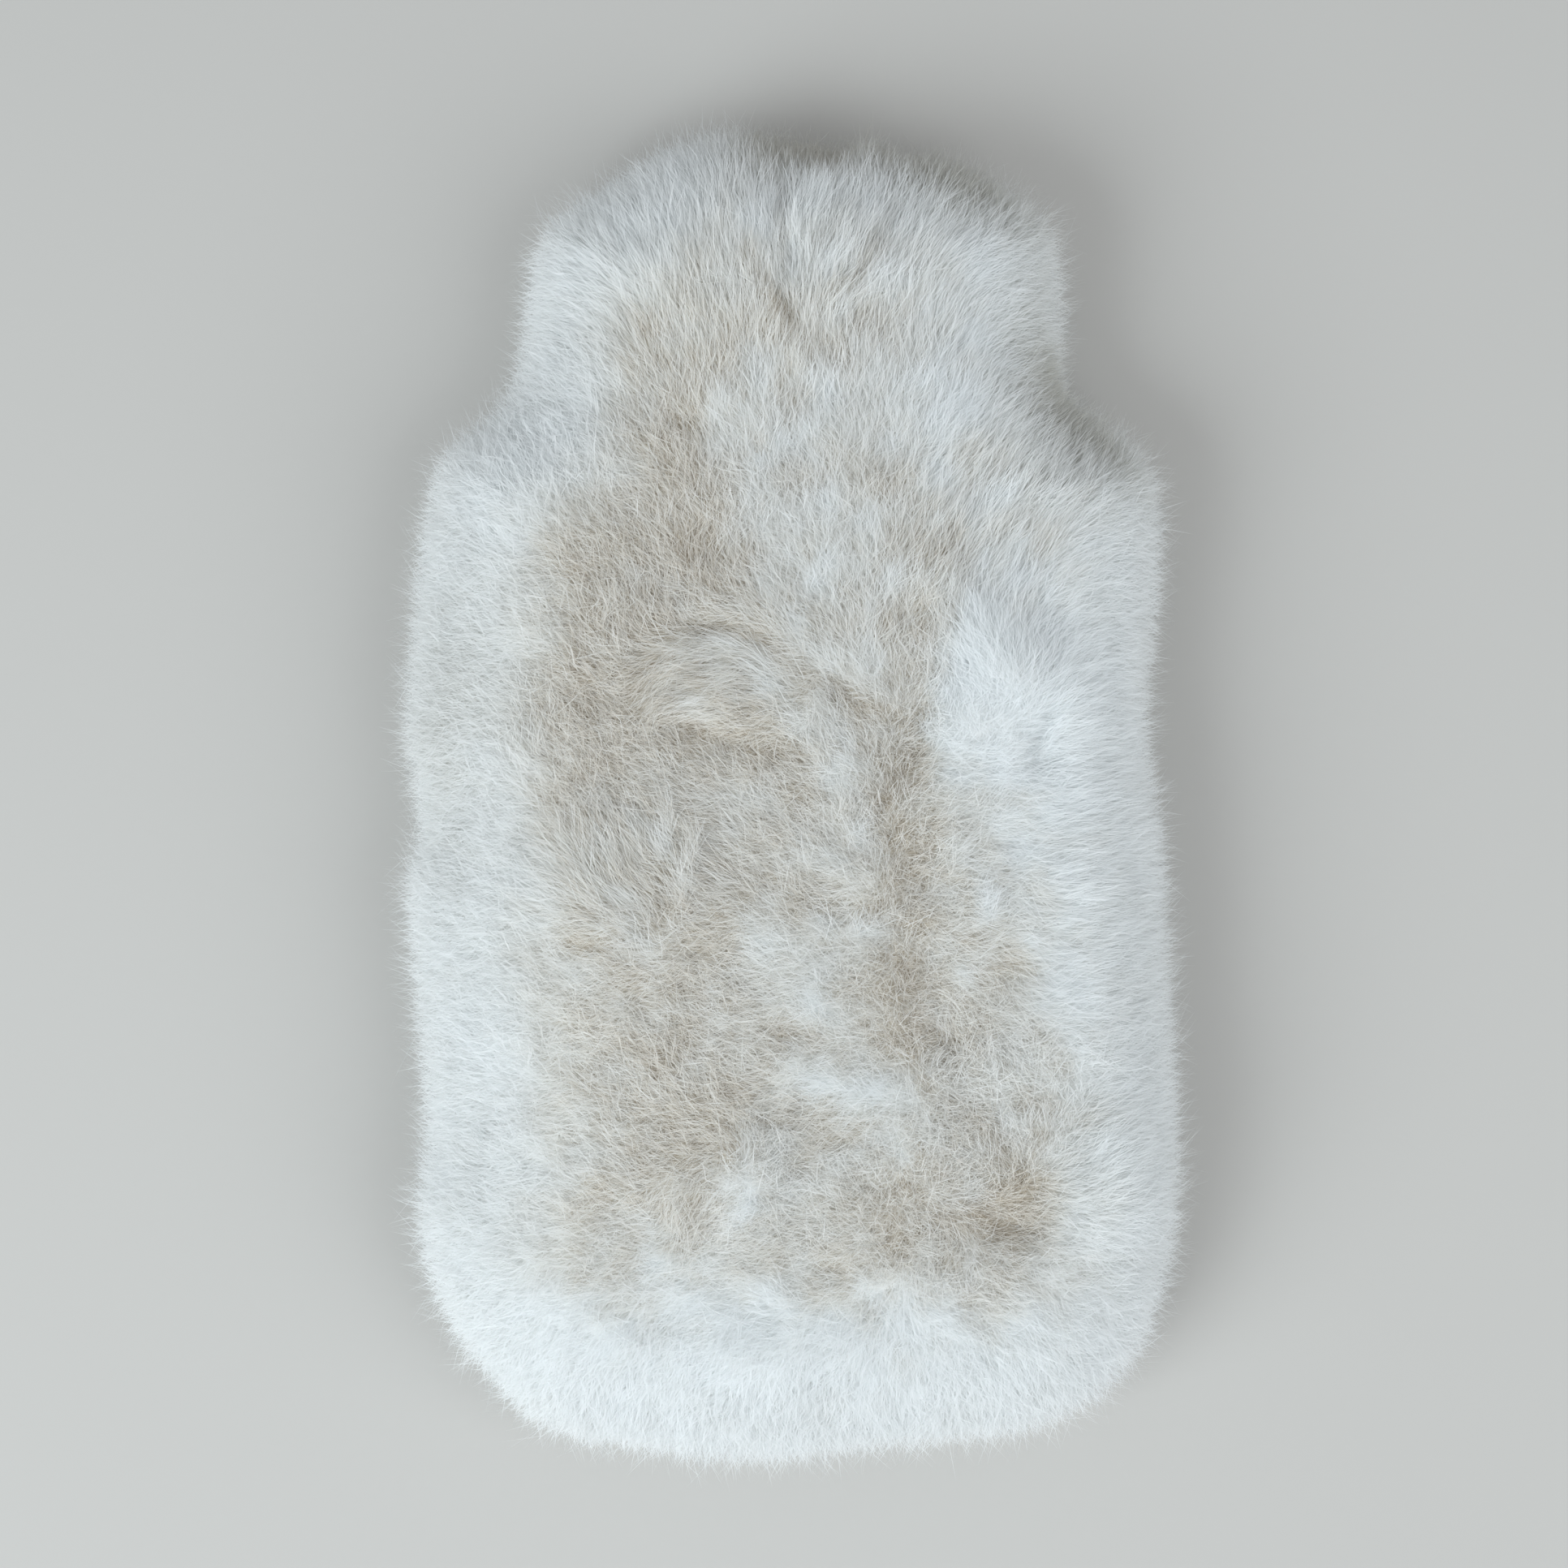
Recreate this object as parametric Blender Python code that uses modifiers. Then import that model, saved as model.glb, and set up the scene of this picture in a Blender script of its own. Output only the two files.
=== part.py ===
"""Hot water bottle cover in long-pile sheepskin, lying flat on its back.

The cover is a flat pouch with the outline of a bottle: a wide body, a short
neck and a broad rounded head. A crowned front panel and a flat back panel are
sewn together round the edge and leave a pocket for the bottle between them.
The bottle goes in through a slit across the back. Locks of long pile stand
out round the seam.

Units are metres. +Z is up, +Y runs towards the head, and the back rests on
the plane z = 0.
"""

import math
import random
from dataclasses import dataclass

import bmesh
import bpy
import numpy as np

# ---------------------------------------------------------------- outline (m)


@dataclass(frozen=True)
class Section:
    """One station of the cover's outline, out to the tips of its pile."""

    y: float
    left: float
    right: float


FOOT_TIP = (-0.012, -0.1955)
HEAD_TIP = (-0.014, 0.1955)
SECTIONS = (
    Section(y=-0.191, left=-0.046, right=0.032),
    Section(y=-0.184, left=-0.073, right=0.072),
    Section(y=-0.167, left=-0.095, right=0.099),
    Section(y=-0.146, left=-0.107, right=0.109),
    Section(y=-0.118, left=-0.112, right=0.115),
    Section(y=-0.098, left=-0.109, right=0.114),
    Section(y=-0.060, left=-0.110, right=0.112),
    Section(y=-0.024, left=-0.113, right=0.108),
    Section(y=-0.008, left=-0.111, right=0.107),
    Section(y=0.020, left=-0.115, right=0.105),
    Section(y=0.060, left=-0.111, right=0.108),
    Section(y=0.084, left=-0.108, right=0.107),
    Section(y=0.101, left=-0.102, right=0.101),
    Section(y=0.115, left=-0.086, right=0.084),
    Section(y=0.130, left=-0.081, right=0.079),
    Section(y=0.150, left=-0.079, right=0.080),
    Section(y=0.167, left=-0.074, right=0.077),
    Section(y=0.181, left=-0.054, right=0.062),
    Section(y=0.190, left=-0.036, right=0.034),
)

# ------------------------------------------------------------------ sizes (m)

RIM_REACH = 0.012         # how far the rim's locks reach past the panels
SEAM_TUCK = 0.0015        # how far the seam is drawn in from the widest line
PIECE_GAP = 0.0003        # between one piece and the next

BACK_HEIGHT = 0.0172      # skin and pressed pile of the back
BACK_WIDEST = 0.010       # height at which the back is widest
BACK_FOOT_INSET = 0.007   # from the widest line in to the flat rest face

SEAM_HEIGHT = BACK_HEIGHT + PIECE_GAP
FRONT_WIDEST = 0.027      # height at which the front is widest
RIM_ROUND = 0.032         # how far in the front's rounded rim reaches
RIM_RISE = 0.023          # how far the rim rises above the widest line
CROWN_RISE = 0.004        # from the rim's top to the middle
SPINE_FOOT = -0.118       # ends of the line down the middle that a panel's
SPINE_HEAD = 0.140        # rings close on

POCKET_INSET = 0.006      # from the widest line in to the pocket
POCKET_ROUND = 0.010      # how far in the pocket's rounded edge reaches
POCKET_HEIGHT = 0.010     # clear height of the pocket above the seam

POCKET_SHARES = (1.0, 0.66, 0.33, 0.0)  # rings of the pocket's roof: 1 is the spine
POCKET_ANGLES = (60, 30, 0)             # degrees round the pocket's rounded edge
RIM_ANGLES = (0, 18, 36, 54, 72)        # degrees round the front's rounded rim
RIM_CLOSES = 0.26                       # share of the way to the spine where the rim levels out
CROWN_SHARES = (0.10, 0.20, 0.30, 0.41, 0.52, 0.64, 0.76, 0.88, 1.0)  # rings of the crown

SLIT_LENGTH = 0.170
SLIT_GAPE = 0.008
SLIT_Y = 0.045

BAND_BASE = 0.0085        # height of the underside of the locks' strip
BAND_HEIGHT = 0.0180
BAND_STAND = 0.0010       # from the panels' widest line out to the strip
BAND_THICK = 0.0014
LOCK_PAIRS = 144          # locks along each of the strip's two rows
LOCK_BEND = 0.45          # how far along a lock its bend lies
LOCK_BEND_RISE = 0.6      # how far up its rise the bend lies, against LOCK_BEND
LOCK_SHAFT = 0.62         # width of a lock at its bend, as a share of its root
LOCK_SPREAD = 0.35        # share of its length that a lock varies by
LOCK_SWAY = 0.3           # share of a lock's width that its tip varies by sideways
RISE_LEAST = 0.8          # a lock's rise varies evenly from this share of its own
RISE_SPREAD = 0.4         # to this much more
LOCK_SEED = 7

WALL_POINTS = 128         # points round a panel
OUTLINE_DETAIL = 1440     # points that an outline is worked out on
OUTLINE_PASSES = 60       # passes that smooth the outline as it is drawn in
BAND_PASSES = 2           # passes that smooth the strip's corners
MERGE_WITHIN = 0.00002    # points closer than this become one


@dataclass(frozen=True)
class Lump:
    """A soft ridge (rise > 0) or trough (rise < 0) combed into the front."""

    name: str
    x: float
    y: float
    along: float
    across: float
    turn_deg: float
    rise: float


@dataclass(frozen=True)
class LockRow:
    """How one row of locks points: lift and lean in lock lengths and widths."""

    name: str
    lift: float
    lean: float


LOCK_ROWS = (
    LockRow("lower, down and out over the back", lift=-0.30, lean=-0.25),
    LockRow("upper, up and out over the front", lift=0.75, lean=0.25),
)
LUMPS = (
    Lump("head parting", -0.001, 0.162, 0.032, 0.007, 88, -0.0050),
    Lump("head left swell", -0.042, 0.158, 0.036, 0.022, 100, 0.0030),
    Lump("head right swell", 0.036, 0.156, 0.026, 0.018, 60, 0.0025),
    Lump("right shoulder dip", 0.083, 0.106, 0.018, 0.010, 45, -0.0050),
    Lump("left shoulder swell", -0.074, 0.080, 0.030, 0.018, 100, 0.0025),
    Lump("swirl crease", -0.030, 0.018, 0.018, 0.006, -18, -0.0045),
    Lump("swirl tuft", -0.024, 0.034, 0.014, 0.008, 10, 0.0030),
    Lump("right lobe", 0.060, 0.032, 0.022, 0.012, -54, 0.0045),
    Lump("lobe hollow", 0.066, 0.014, 0.010, 0.006, -20, -0.0030),
    Lump("long trough", 0.034, -0.022, 0.048, 0.007, 90, -0.0050),
    Lump("trough fold", 0.042, -0.070, 0.010, 0.005, 90, -0.0035),
    Lump("middle swell", -0.050, -0.030, 0.050, 0.020, 82, 0.0025),
    Lump("right swell", 0.075, -0.055, 0.040, 0.016, 88, 0.0030),
    Lump("lower tousle", -0.013, -0.109, 0.016, 0.008, 60, 0.0035),
    Lump("dark swirl", 0.058, -0.119, 0.013, 0.009, 10, -0.0055),
    Lump("foot swell", 0.000, -0.158, 0.060, 0.014, 0, 0.0030),
)


@dataclass(frozen=True)
class Finish:
    """Colour (linear RGB) and roughness of one piece."""

    name: str
    colour: tuple[float, float, float]
    roughness: float


FRONT_FINISH = Finish("creamy pile", (0.74, 0.72, 0.66), 0.95)
BACK_FINISH = Finish("pressed pile", (0.66, 0.63, 0.56), 0.95)
RIM_FINISH = Finish("pale tips", (0.82, 0.84, 0.83), 0.95)


# ------------------------------------------------------------- outline curves


def smooth_loop(points: np.ndarray, count: int) -> np.ndarray:
    """Return count points of a closed Catmull-Rom curve through the points."""
    share = np.arange(count) / count * len(points)
    piece = share.astype(int)
    t = (share - piece)[:, None]
    before, start, end, after = (points[(piece + k) % len(points)] for k in (-1, 0, 1, 2))
    return 0.5 * (
        2 * start
        + (end - before) * t
        + (2 * before - 5 * start + 4 * end - after) * t**2
        + (3 * start - before - 3 * end + after) * t**3
    )


def spread_evenly(loop: np.ndarray, count: int) -> np.ndarray:
    """Return count points at even steps of arc length round a closed loop."""
    closed = np.vstack([loop, loop[:1]])
    steps = np.hypot(*np.diff(closed, axis=0).T)
    arc = np.concatenate([[0.0], np.cumsum(steps)])
    at = np.linspace(0.0, arc[-1], count, endpoint=False)
    return np.column_stack([np.interp(at, arc, closed[:, k]) for k in (0, 1)])


def outward(loop: np.ndarray) -> np.ndarray:
    """Return the unit outward normals of an anticlockwise loop."""
    along = np.roll(loop, -1, axis=0) - np.roll(loop, 1, axis=0)
    across = np.column_stack([along[:, 1], -along[:, 0]])
    return across / np.hypot(*across.T)[:, None]


def soften(values: np.ndarray, passes: int) -> np.ndarray:
    """Average each row of a closed loop with its neighbours, several times."""
    for _ in range(passes):
        values = (np.roll(values, 1, axis=0) + 2 * values + np.roll(values, -1, axis=0)) / 4
    return values


def wall_line() -> np.ndarray:
    """Return the panels' widest line, inside the tips by the locks' reach."""
    right = [(row.right, row.y) for row in SECTIONS]
    left = [(row.left, row.y) for row in reversed(SECTIONS)]
    corners = np.array([FOOT_TIP, *right, HEAD_TIP, *left])
    tips = spread_evenly(smooth_loop(corners, OUTLINE_DETAIL), OUTLINE_DETAIL)
    inner = tips - RIM_REACH * outward(soften(tips, OUTLINE_PASSES))
    return spread_evenly(soften(inner, OUTLINE_PASSES), OUTLINE_DETAIL)


def halves(loop: np.ndarray, count: int) -> np.ndarray:
    """Share count points between the right and left sides, foot to head.

    Point k on the right and point count - k on the left lie at the same
    share of their side's length, so that the two can close on one line.
    """
    foot, head = np.argmin(loop[:, 1]), np.argmax(loop[:, 1])
    turned = np.roll(loop, -foot, axis=0)
    head = (head - foot) % len(loop)
    half = count // 2
    right = spread_open(turned[: head + 1], half + 1)
    left = spread_open(np.vstack([turned[head:], turned[:1]]), half + 1)
    return np.vstack([right[:-1], left[:-1]])


def spread_open(path: np.ndarray, count: int) -> np.ndarray:
    """Return count points at even steps of arc length along an open path."""
    arc = np.concatenate([[0.0], np.cumsum(np.hypot(*np.diff(path, axis=0).T))])
    at = np.linspace(0.0, arc[-1], count)
    return np.column_stack([np.interp(at, arc, path[:, k]) for k in (0, 1)])


def spine_line(loop: np.ndarray) -> np.ndarray:
    """Return for each point of a loop the point of the middle line it closes on."""
    mirror = np.roll(loop[::-1], 1, axis=0)
    middle = (loop + mirror) / 2
    side = middle[: len(loop) // 2 + 1]
    at = np.clip(middle[:, 1], SPINE_FOOT, SPINE_HEAD)
    return np.column_stack([np.interp(at, side[:, 1], side[:, 0]), at])


# ---------------------------------------------------------------- soft shapes


def smoothstep(share: np.ndarray) -> np.ndarray:
    """Ease from 0 to 1 as share goes from 0 to 1."""
    share = np.clip(share, 0.0, 1.0)
    return share * share * (3 - 2 * share)


def lump_rise(x: np.ndarray, y: np.ndarray) -> np.ndarray:
    """Add up the soft ridges and troughs at points of the front."""
    rise = np.zeros_like(x)
    for lump in LUMPS:
        turn = math.radians(lump.turn_deg)
        along = (x - lump.x) * math.cos(turn) + (y - lump.y) * math.sin(turn)
        across = (y - lump.y) * math.cos(turn) - (x - lump.x) * math.sin(turn)
        rise += lump.rise * np.exp(-((along / lump.along) ** 2) - (across / lump.across) ** 2)
    return rise


class Panel:
    """A closed soft solid made of rings that follow the cover's outline."""

    def __init__(self, widest: np.ndarray) -> None:
        self.loop = halves(widest, WALL_POINTS)
        self.normals = outward(self.loop)
        self.spine = spine_line(self.loop)
        self.rings: list[np.ndarray] = []

    def flat_ring(self, inset: float, height: float) -> None:
        """Add a level ring drawn in from the widest line by inset."""
        plan = self.loop - inset * self.normals
        self.rings.append(np.column_stack([plan, np.full(len(plan), height)]))

    def inner_plan(self, inset: float, share: float) -> np.ndarray:
        """Return the plan of a ring that is share of the way to the spine."""
        edge = self.loop - inset * self.normals
        return edge + (self.spine - edge) * share

    def build(self, name: str) -> bpy.types.Object:
        """Loft the rings in turn, close them on the spine and return the object."""
        count = len(self.loop)
        points = np.vstack(self.rings)
        here = np.arange(count)
        after = (here + 1) % count
        bands = [
            np.column_stack([k * count + here, k * count + after,
                             (k + 1) * count + after, (k + 1) * count + here])
            for k in range(len(self.rings) - 1)
        ]
        mesh = bpy.data.meshes.new(name)
        mesh.from_pydata(points.tolist(), [], np.vstack(bands).tolist())
        shape = bmesh.new()
        shape.from_mesh(mesh)
        bmesh.ops.remove_doubles(shape, verts=shape.verts, dist=MERGE_WITHIN)
        bmesh.ops.holes_fill(shape, edges=[e for e in shape.edges if e.is_boundary])
        bmesh.ops.recalc_face_normals(shape, faces=shape.faces)
        shape.to_mesh(mesh)
        shape.free()
        mesh.shade_smooth()
        return bpy.data.objects.new(name, mesh)


def front_panel(widest: np.ndarray) -> bpy.types.Object:
    """Model the crowned front: pile outside, and the pocket's roof inside."""
    panel = Panel(widest)
    pocket_top = SEAM_HEIGHT + POCKET_HEIGHT
    for share in POCKET_SHARES:
        plan = panel.inner_plan(POCKET_INSET + POCKET_ROUND, share)
        panel.rings.append(np.column_stack([plan, np.full(len(plan), pocket_top)]))
    for angle in POCKET_ANGLES:
        reach = math.radians(angle)
        panel.flat_ring(
            POCKET_INSET + POCKET_ROUND * (1 - math.cos(reach)),
            SEAM_HEIGHT + POCKET_HEIGHT * math.sin(reach),
        )
    panel.flat_ring(SEAM_TUCK, SEAM_HEIGHT)
    panel.flat_ring(SEAM_TUCK / 3, (SEAM_HEIGHT + FRONT_WIDEST) / 2)
    last = RIM_ANGLES[-1]
    for angle in RIM_ANGLES:
        reach = math.radians(angle)
        inset = RIM_ROUND * (1 - math.cos(reach))
        plan = panel.loop - inset * panel.normals
        height = FRONT_WIDEST + RIM_RISE * math.sin(reach)
        height += lump_rise(*plan.T) * smoothstep(np.full(len(plan), angle / last))
        panel.rings.append(np.column_stack([plan, height]))
    rim_top = RIM_ROUND * (1 - math.cos(math.radians(last)))
    for share in CROWN_SHARES:
        plan = panel.inner_plan(rim_top, share)
        crown = RIM_RISE * math.sin(math.radians(last + (90 - last) * min(1.0, share / RIM_CLOSES)))
        height = FRONT_WIDEST + crown + CROWN_RISE * float(smoothstep(np.array(share)))
        panel.rings.append(np.column_stack([plan, height + lump_rise(*plan.T)]))
    return panel.build("front_panel")


def back_panel(widest: np.ndarray) -> bpy.types.Object:
    """Model the back: flat underneath and on top, rounded at its edge."""
    panel = Panel(widest)
    panel.rings.append(np.column_stack([panel.inner_plan(BACK_FOOT_INSET, 1.0), np.zeros(WALL_POINTS)]))
    panel.flat_ring(BACK_FOOT_INSET, 0.0)
    panel.flat_ring(BACK_FOOT_INSET / 3, BACK_WIDEST / 3)
    panel.flat_ring(0.0, BACK_WIDEST)
    panel.flat_ring(SEAM_TUCK, BACK_HEIGHT)
    panel.flat_ring(POCKET_INSET, BACK_HEIGHT)
    panel.rings.append(np.column_stack([panel.inner_plan(POCKET_INSET, 1.0),
                                        np.full(WALL_POINTS, BACK_HEIGHT)]))
    return panel.build("back_panel")


def slit_cutter() -> bpy.types.Object:
    """Model the round-ended slot that opens the slit through the back."""
    bpy.ops.mesh.primitive_cube_add(size=1.0, location=(0.0, SLIT_Y, BACK_HEIGHT / 2))
    cutter = bpy.context.object
    cutter.name = "slit_cutter"
    cutter.scale = (SLIT_LENGTH, SLIT_GAPE, BACK_HEIGHT * 2)
    bpy.ops.object.transform_apply(location=False, rotation=False, scale=True)
    bevel = cutter.modifiers.new("round ends", "BEVEL")
    bevel.width = SLIT_GAPE * 0.45
    bevel.segments = 3
    bevel.limit_method = "ANGLE"
    cutter.hide_render = True
    cutter.display_type = "WIRE"
    return cutter


def rim_pile(widest: np.ndarray) -> bpy.types.Object:
    """Model the strip round the seam with two rows of tapering locks.

    The strip is a closed band two cells high. Each outer cell is drawn out
    into a lock of four sides that bends, thins and ends in a point. The
    upper row stands up and out over the front, the lower row down and out
    over the back, and their tips lie half a lock apart.
    """
    chance = random.Random(LOCK_SEED)
    line = spread_evenly(widest, LOCK_PAIRS)
    normals = outward(soften(line, BAND_PASSES))
    along = np.column_stack([-normals[:, 1], normals[:, 0]])
    inner = line + BAND_STAND * normals
    outer = line + (BAND_STAND + BAND_THICK) * normals
    levels = [BAND_BASE, BAND_BASE + BAND_HEIGHT / 2, BAND_BASE + BAND_HEIGHT]

    shape = bmesh.new()
    ring_in = [[shape.verts.new((*p, z)) for p in inner] for z in (levels[0], levels[2])]
    ring_out = [[shape.verts.new((*p, z)) for p in outer] for z in levels]
    for k in range(LOCK_PAIRS):
        n = (k + 1) % LOCK_PAIRS
        shape.faces.new((ring_in[0][k], ring_in[1][k], ring_in[1][n], ring_in[0][n]))
        shape.faces.new((ring_out[2][k], ring_out[2][n], ring_in[1][n], ring_in[1][k]))
        shape.faces.new((ring_in[0][k], ring_in[0][n], ring_out[0][n], ring_out[0][k]))
        for row, locks in enumerate(LOCK_ROWS):
            root = (ring_out[row][k], ring_out[row][n], ring_out[row + 1][n], ring_out[row + 1][k])
            length = (RIM_REACH - BAND_STAND - BAND_THICK) * (1 + LOCK_SPREAD * (chance.random() - 0.5))
            step = np.hypot(*(outer[n] - outer[k]))
            away = (normals[k] + normals[n]) / 2 * length
            side = (along[k] + along[n]) / 2 * step * (locks.lean + LOCK_SWAY * (chance.random() - 0.5))
            rise = length * locks.lift * (RISE_LEAST + RISE_SPREAD * chance.random())
            draw_lock(shape, root, np.array([*(away + side), rise]))
    bmesh.ops.recalc_face_normals(shape, faces=shape.faces)
    mesh = bpy.data.meshes.new("rim_pile")
    shape.to_mesh(mesh)
    shape.free()
    return bpy.data.objects.new("rim_pile", mesh)


def draw_lock(shape: bmesh.types.BMesh, root: tuple, reach: np.ndarray) -> None:
    """Draw one lock out of a root cell: a bent shaft, then a pointed tip."""
    corners = np.array([corner.co for corner in root])
    middle = corners.mean(axis=0)
    bend = middle + reach * LOCK_BEND * np.array([1.0, 1.0, LOCK_BEND_RISE])
    ring = [shape.verts.new(bend + (corner - middle) * LOCK_SHAFT) for corner in corners]
    tip = shape.verts.new(middle + reach)
    for k in range(len(corners)):
        n = (k + 1) % len(corners)
        shape.faces.new((root[k], root[n], ring[n], ring[k]))
        shape.faces.new((ring[k], ring[n], tip))


# ------------------------------------------------------------------- assembly


def dress(piece: bpy.types.Object, finish: Finish) -> None:
    """Give a piece its own material."""
    material = bpy.data.materials.new(finish.name)
    material.use_nodes = True
    shader = material.node_tree.nodes["Principled BSDF"]
    shader.inputs["Base Color"].default_value = (*finish.colour, 1.0)
    shader.inputs["Roughness"].default_value = finish.roughness
    material.diffuse_color = (*finish.colour, 1.0)
    piece.data.materials.append(material)


def centre_on_floor(pieces: list[bpy.types.Object]) -> None:
    """Shift the pieces so that the middle of their footprint is the origin."""
    points = np.vstack([[vertex.co for vertex in piece.data.vertices] for piece in pieces])
    middle = (points.min(axis=0) + points.max(axis=0)) / 2
    for piece in pieces:
        piece.location = (-middle[0], -middle[1], -points[:, 2].min())


def main() -> None:
    """Clear the scene and build the cover."""
    for leftover in list(bpy.data.objects):
        bpy.data.objects.remove(leftover, do_unlink=True)
    cover = bpy.data.collections.new("hot_water_bottle_cover")
    cutters = bpy.data.collections.new("cutters")
    for collection in (cover, cutters):
        bpy.context.scene.collection.children.link(collection)

    widest = wall_line()
    front, back, rim = front_panel(widest), back_panel(widest), rim_pile(widest)
    for piece, finish in ((front, FRONT_FINISH), (back, BACK_FINISH), (rim, RIM_FINISH)):
        dress(piece, finish)
        cover.objects.link(piece)
    centre_on_floor([front, back, rim])

    cutter = slit_cutter()
    for collection in list(cutter.users_collection):
        collection.objects.unlink(cutter)
    cutters.objects.link(cutter)
    cut = back.modifiers.new("slit", "BOOLEAN")
    cut.operation = "DIFFERENCE"
    cut.solver = "EXACT"
    cut.object = cutter


main()
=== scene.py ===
"""Hot water bottle cover in creamy-white sheepskin, lying on its back.

The cover is dressed as the real one is made: a thin hide on the front and one
on the back, the dense underfur that grows on them, and the long fine pile on
top, combed outward from a parting line and tousled where hands have held it.

Every surface comes from one soft form, a section carried round the cover's
outline. Pile is grown as narrow tapering ribbons, gathered into tufts and
locks, all worked out as whole arrays.
"""

from __future__ import annotations

import logging
import math
from collections.abc import Sequence
from dataclasses import dataclass, field
from enum import Enum, IntEnum

import bmesh
import bpy
import numpy as np
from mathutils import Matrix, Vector


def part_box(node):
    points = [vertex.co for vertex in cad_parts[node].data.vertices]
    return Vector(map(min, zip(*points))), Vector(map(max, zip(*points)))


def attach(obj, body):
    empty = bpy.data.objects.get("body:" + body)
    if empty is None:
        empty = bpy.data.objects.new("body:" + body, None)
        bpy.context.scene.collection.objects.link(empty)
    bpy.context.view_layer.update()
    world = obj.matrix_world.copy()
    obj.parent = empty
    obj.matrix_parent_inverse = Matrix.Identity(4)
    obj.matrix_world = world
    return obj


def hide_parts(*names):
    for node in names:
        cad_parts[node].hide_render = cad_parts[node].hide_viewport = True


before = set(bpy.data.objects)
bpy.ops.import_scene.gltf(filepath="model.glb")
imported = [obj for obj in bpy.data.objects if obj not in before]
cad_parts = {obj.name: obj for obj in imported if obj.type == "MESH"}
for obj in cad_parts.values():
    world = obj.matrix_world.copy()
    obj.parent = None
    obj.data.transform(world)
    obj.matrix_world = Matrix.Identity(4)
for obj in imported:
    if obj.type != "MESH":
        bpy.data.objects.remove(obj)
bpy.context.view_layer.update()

LOG = logging.getLogger("cover")
BODY = "root"
UV_MAP = "OFBake"
TONE = "tone"
# Points closer than this are one (m).
MERGE = 0.00002
# Noise cells are counted from minus this number to this number along each axis.
CELL_SPAN = 4096
# Large odd numbers that mix a cell's three numbers and its salt into even bits.
CELL_MIXERS = (73856093, 19349663, 83492791)
BIT_MIXERS = (2654435761, 2246822519, 3266489917)
BITS_32 = 0xFFFFFFFF
BITS_24 = 0xFFFFFF
# How many places are measured against the outline at a time.
CHUNK = 4000


class Seed(IntEnum):
    """Where each random draw starts. A layer's or a piece's number is added."""

    FRONT_ROOTS = 20
    FRONT_PILE = 21
    RIM_ROOTS = 30
    RIM_PILE = 31
    BACK_ROOTS = 50
    BACK_PILE = 51
    LAYER_STEP = 10


class Salt(IntEnum):
    """Which pattern of soft noise or of tufts a use takes."""

    CLOUDS = 3
    LOCKS = 11
    TUFTS = 23
    TOUSLES = 41
    SWAY = 51


# --------------------------------------------------------------------- tables


@dataclass(frozen=True)
class Section:
    """One station of the outline, out to the pile's tips (m)."""

    y: float
    left: float
    right: float


@dataclass(frozen=True)
class Place:
    """An ellipse on the cover, seen from above (m, degrees)."""

    name: str
    x: float
    y: float
    along: float
    across: float
    turn_deg: float

    def share(self, plan: np.ndarray, power: int = 2, narrowest: float = 0.0) -> np.ndarray:
        """Return 1 at the middle, falling as exp(-|a|^power - |b|^power).

        Args:
            plan: (n, 2) places, seen from above.
            power: 2 for a soft edge, 4 for a firmer one.
            narrowest: the least width that counts.

        Returns:
            (n,) shares from 0 to 1.
        """
        turn = math.radians(self.turn_deg)
        x, y = (plan - (self.x, self.y)).T
        a = (x * math.cos(turn) + y * math.sin(turn)) / self.along
        b = (y * math.cos(turn) - x * math.sin(turn)) / max(self.across, narrowest)
        return np.exp(-(a**power) - b**power)


@dataclass(frozen=True)
class Lump(Place):
    """A soft ridge or standing lock (rise > 0), or a trough or crease (rise < 0)."""

    rise: float


@dataclass(frozen=True)
class WarmPatch(Place):
    """A place where the pile is creamier (warmth > 0) or whiter (warmth < 0), and may be lighter; some
    patches' lightness is painted light and painted shade.
    """

    warmth: float
    light: float = 0.0


@dataclass(frozen=True)
class CombMark:
    """A place where the pile lies one way, and how far around that holds."""

    name: str
    x: float
    y: float
    points_deg: float
    reach: float


FOOT_TIP = (-0.012, -0.1945)
HEAD_TIP = (-0.014, 0.1960)
SECTIONS = (
    Section(y=-0.190, left=-0.050, right=0.028),
    Section(y=-0.184, left=-0.074, right=0.073),
    Section(y=-0.167, left=-0.092, right=0.098),
    Section(y=-0.146, left=-0.106, right=0.109),
    Section(y=-0.118, left=-0.112, right=0.114),
    Section(y=-0.098, left=-0.109, right=0.114),
    Section(y=-0.060, left=-0.112, right=0.112),
    Section(y=-0.024, left=-0.115, right=0.110),
    Section(y=-0.008, left=-0.111, right=0.109),
    Section(y=0.020, left=-0.115, right=0.105),
    Section(y=0.060, left=-0.112, right=0.108),
    Section(y=0.084, left=-0.109, right=0.109),
    Section(y=0.101, left=-0.104, right=0.104),
    Section(y=0.115, left=-0.087, right=0.087),
    Section(y=0.130, left=-0.081, right=0.081),
    Section(y=0.150, left=-0.079, right=0.080),
    Section(y=0.167, left=-0.074, right=0.077),
    Section(y=0.181, left=-0.052, right=0.058),
    Section(y=0.190, left=-0.038, right=0.034),
)
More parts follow.
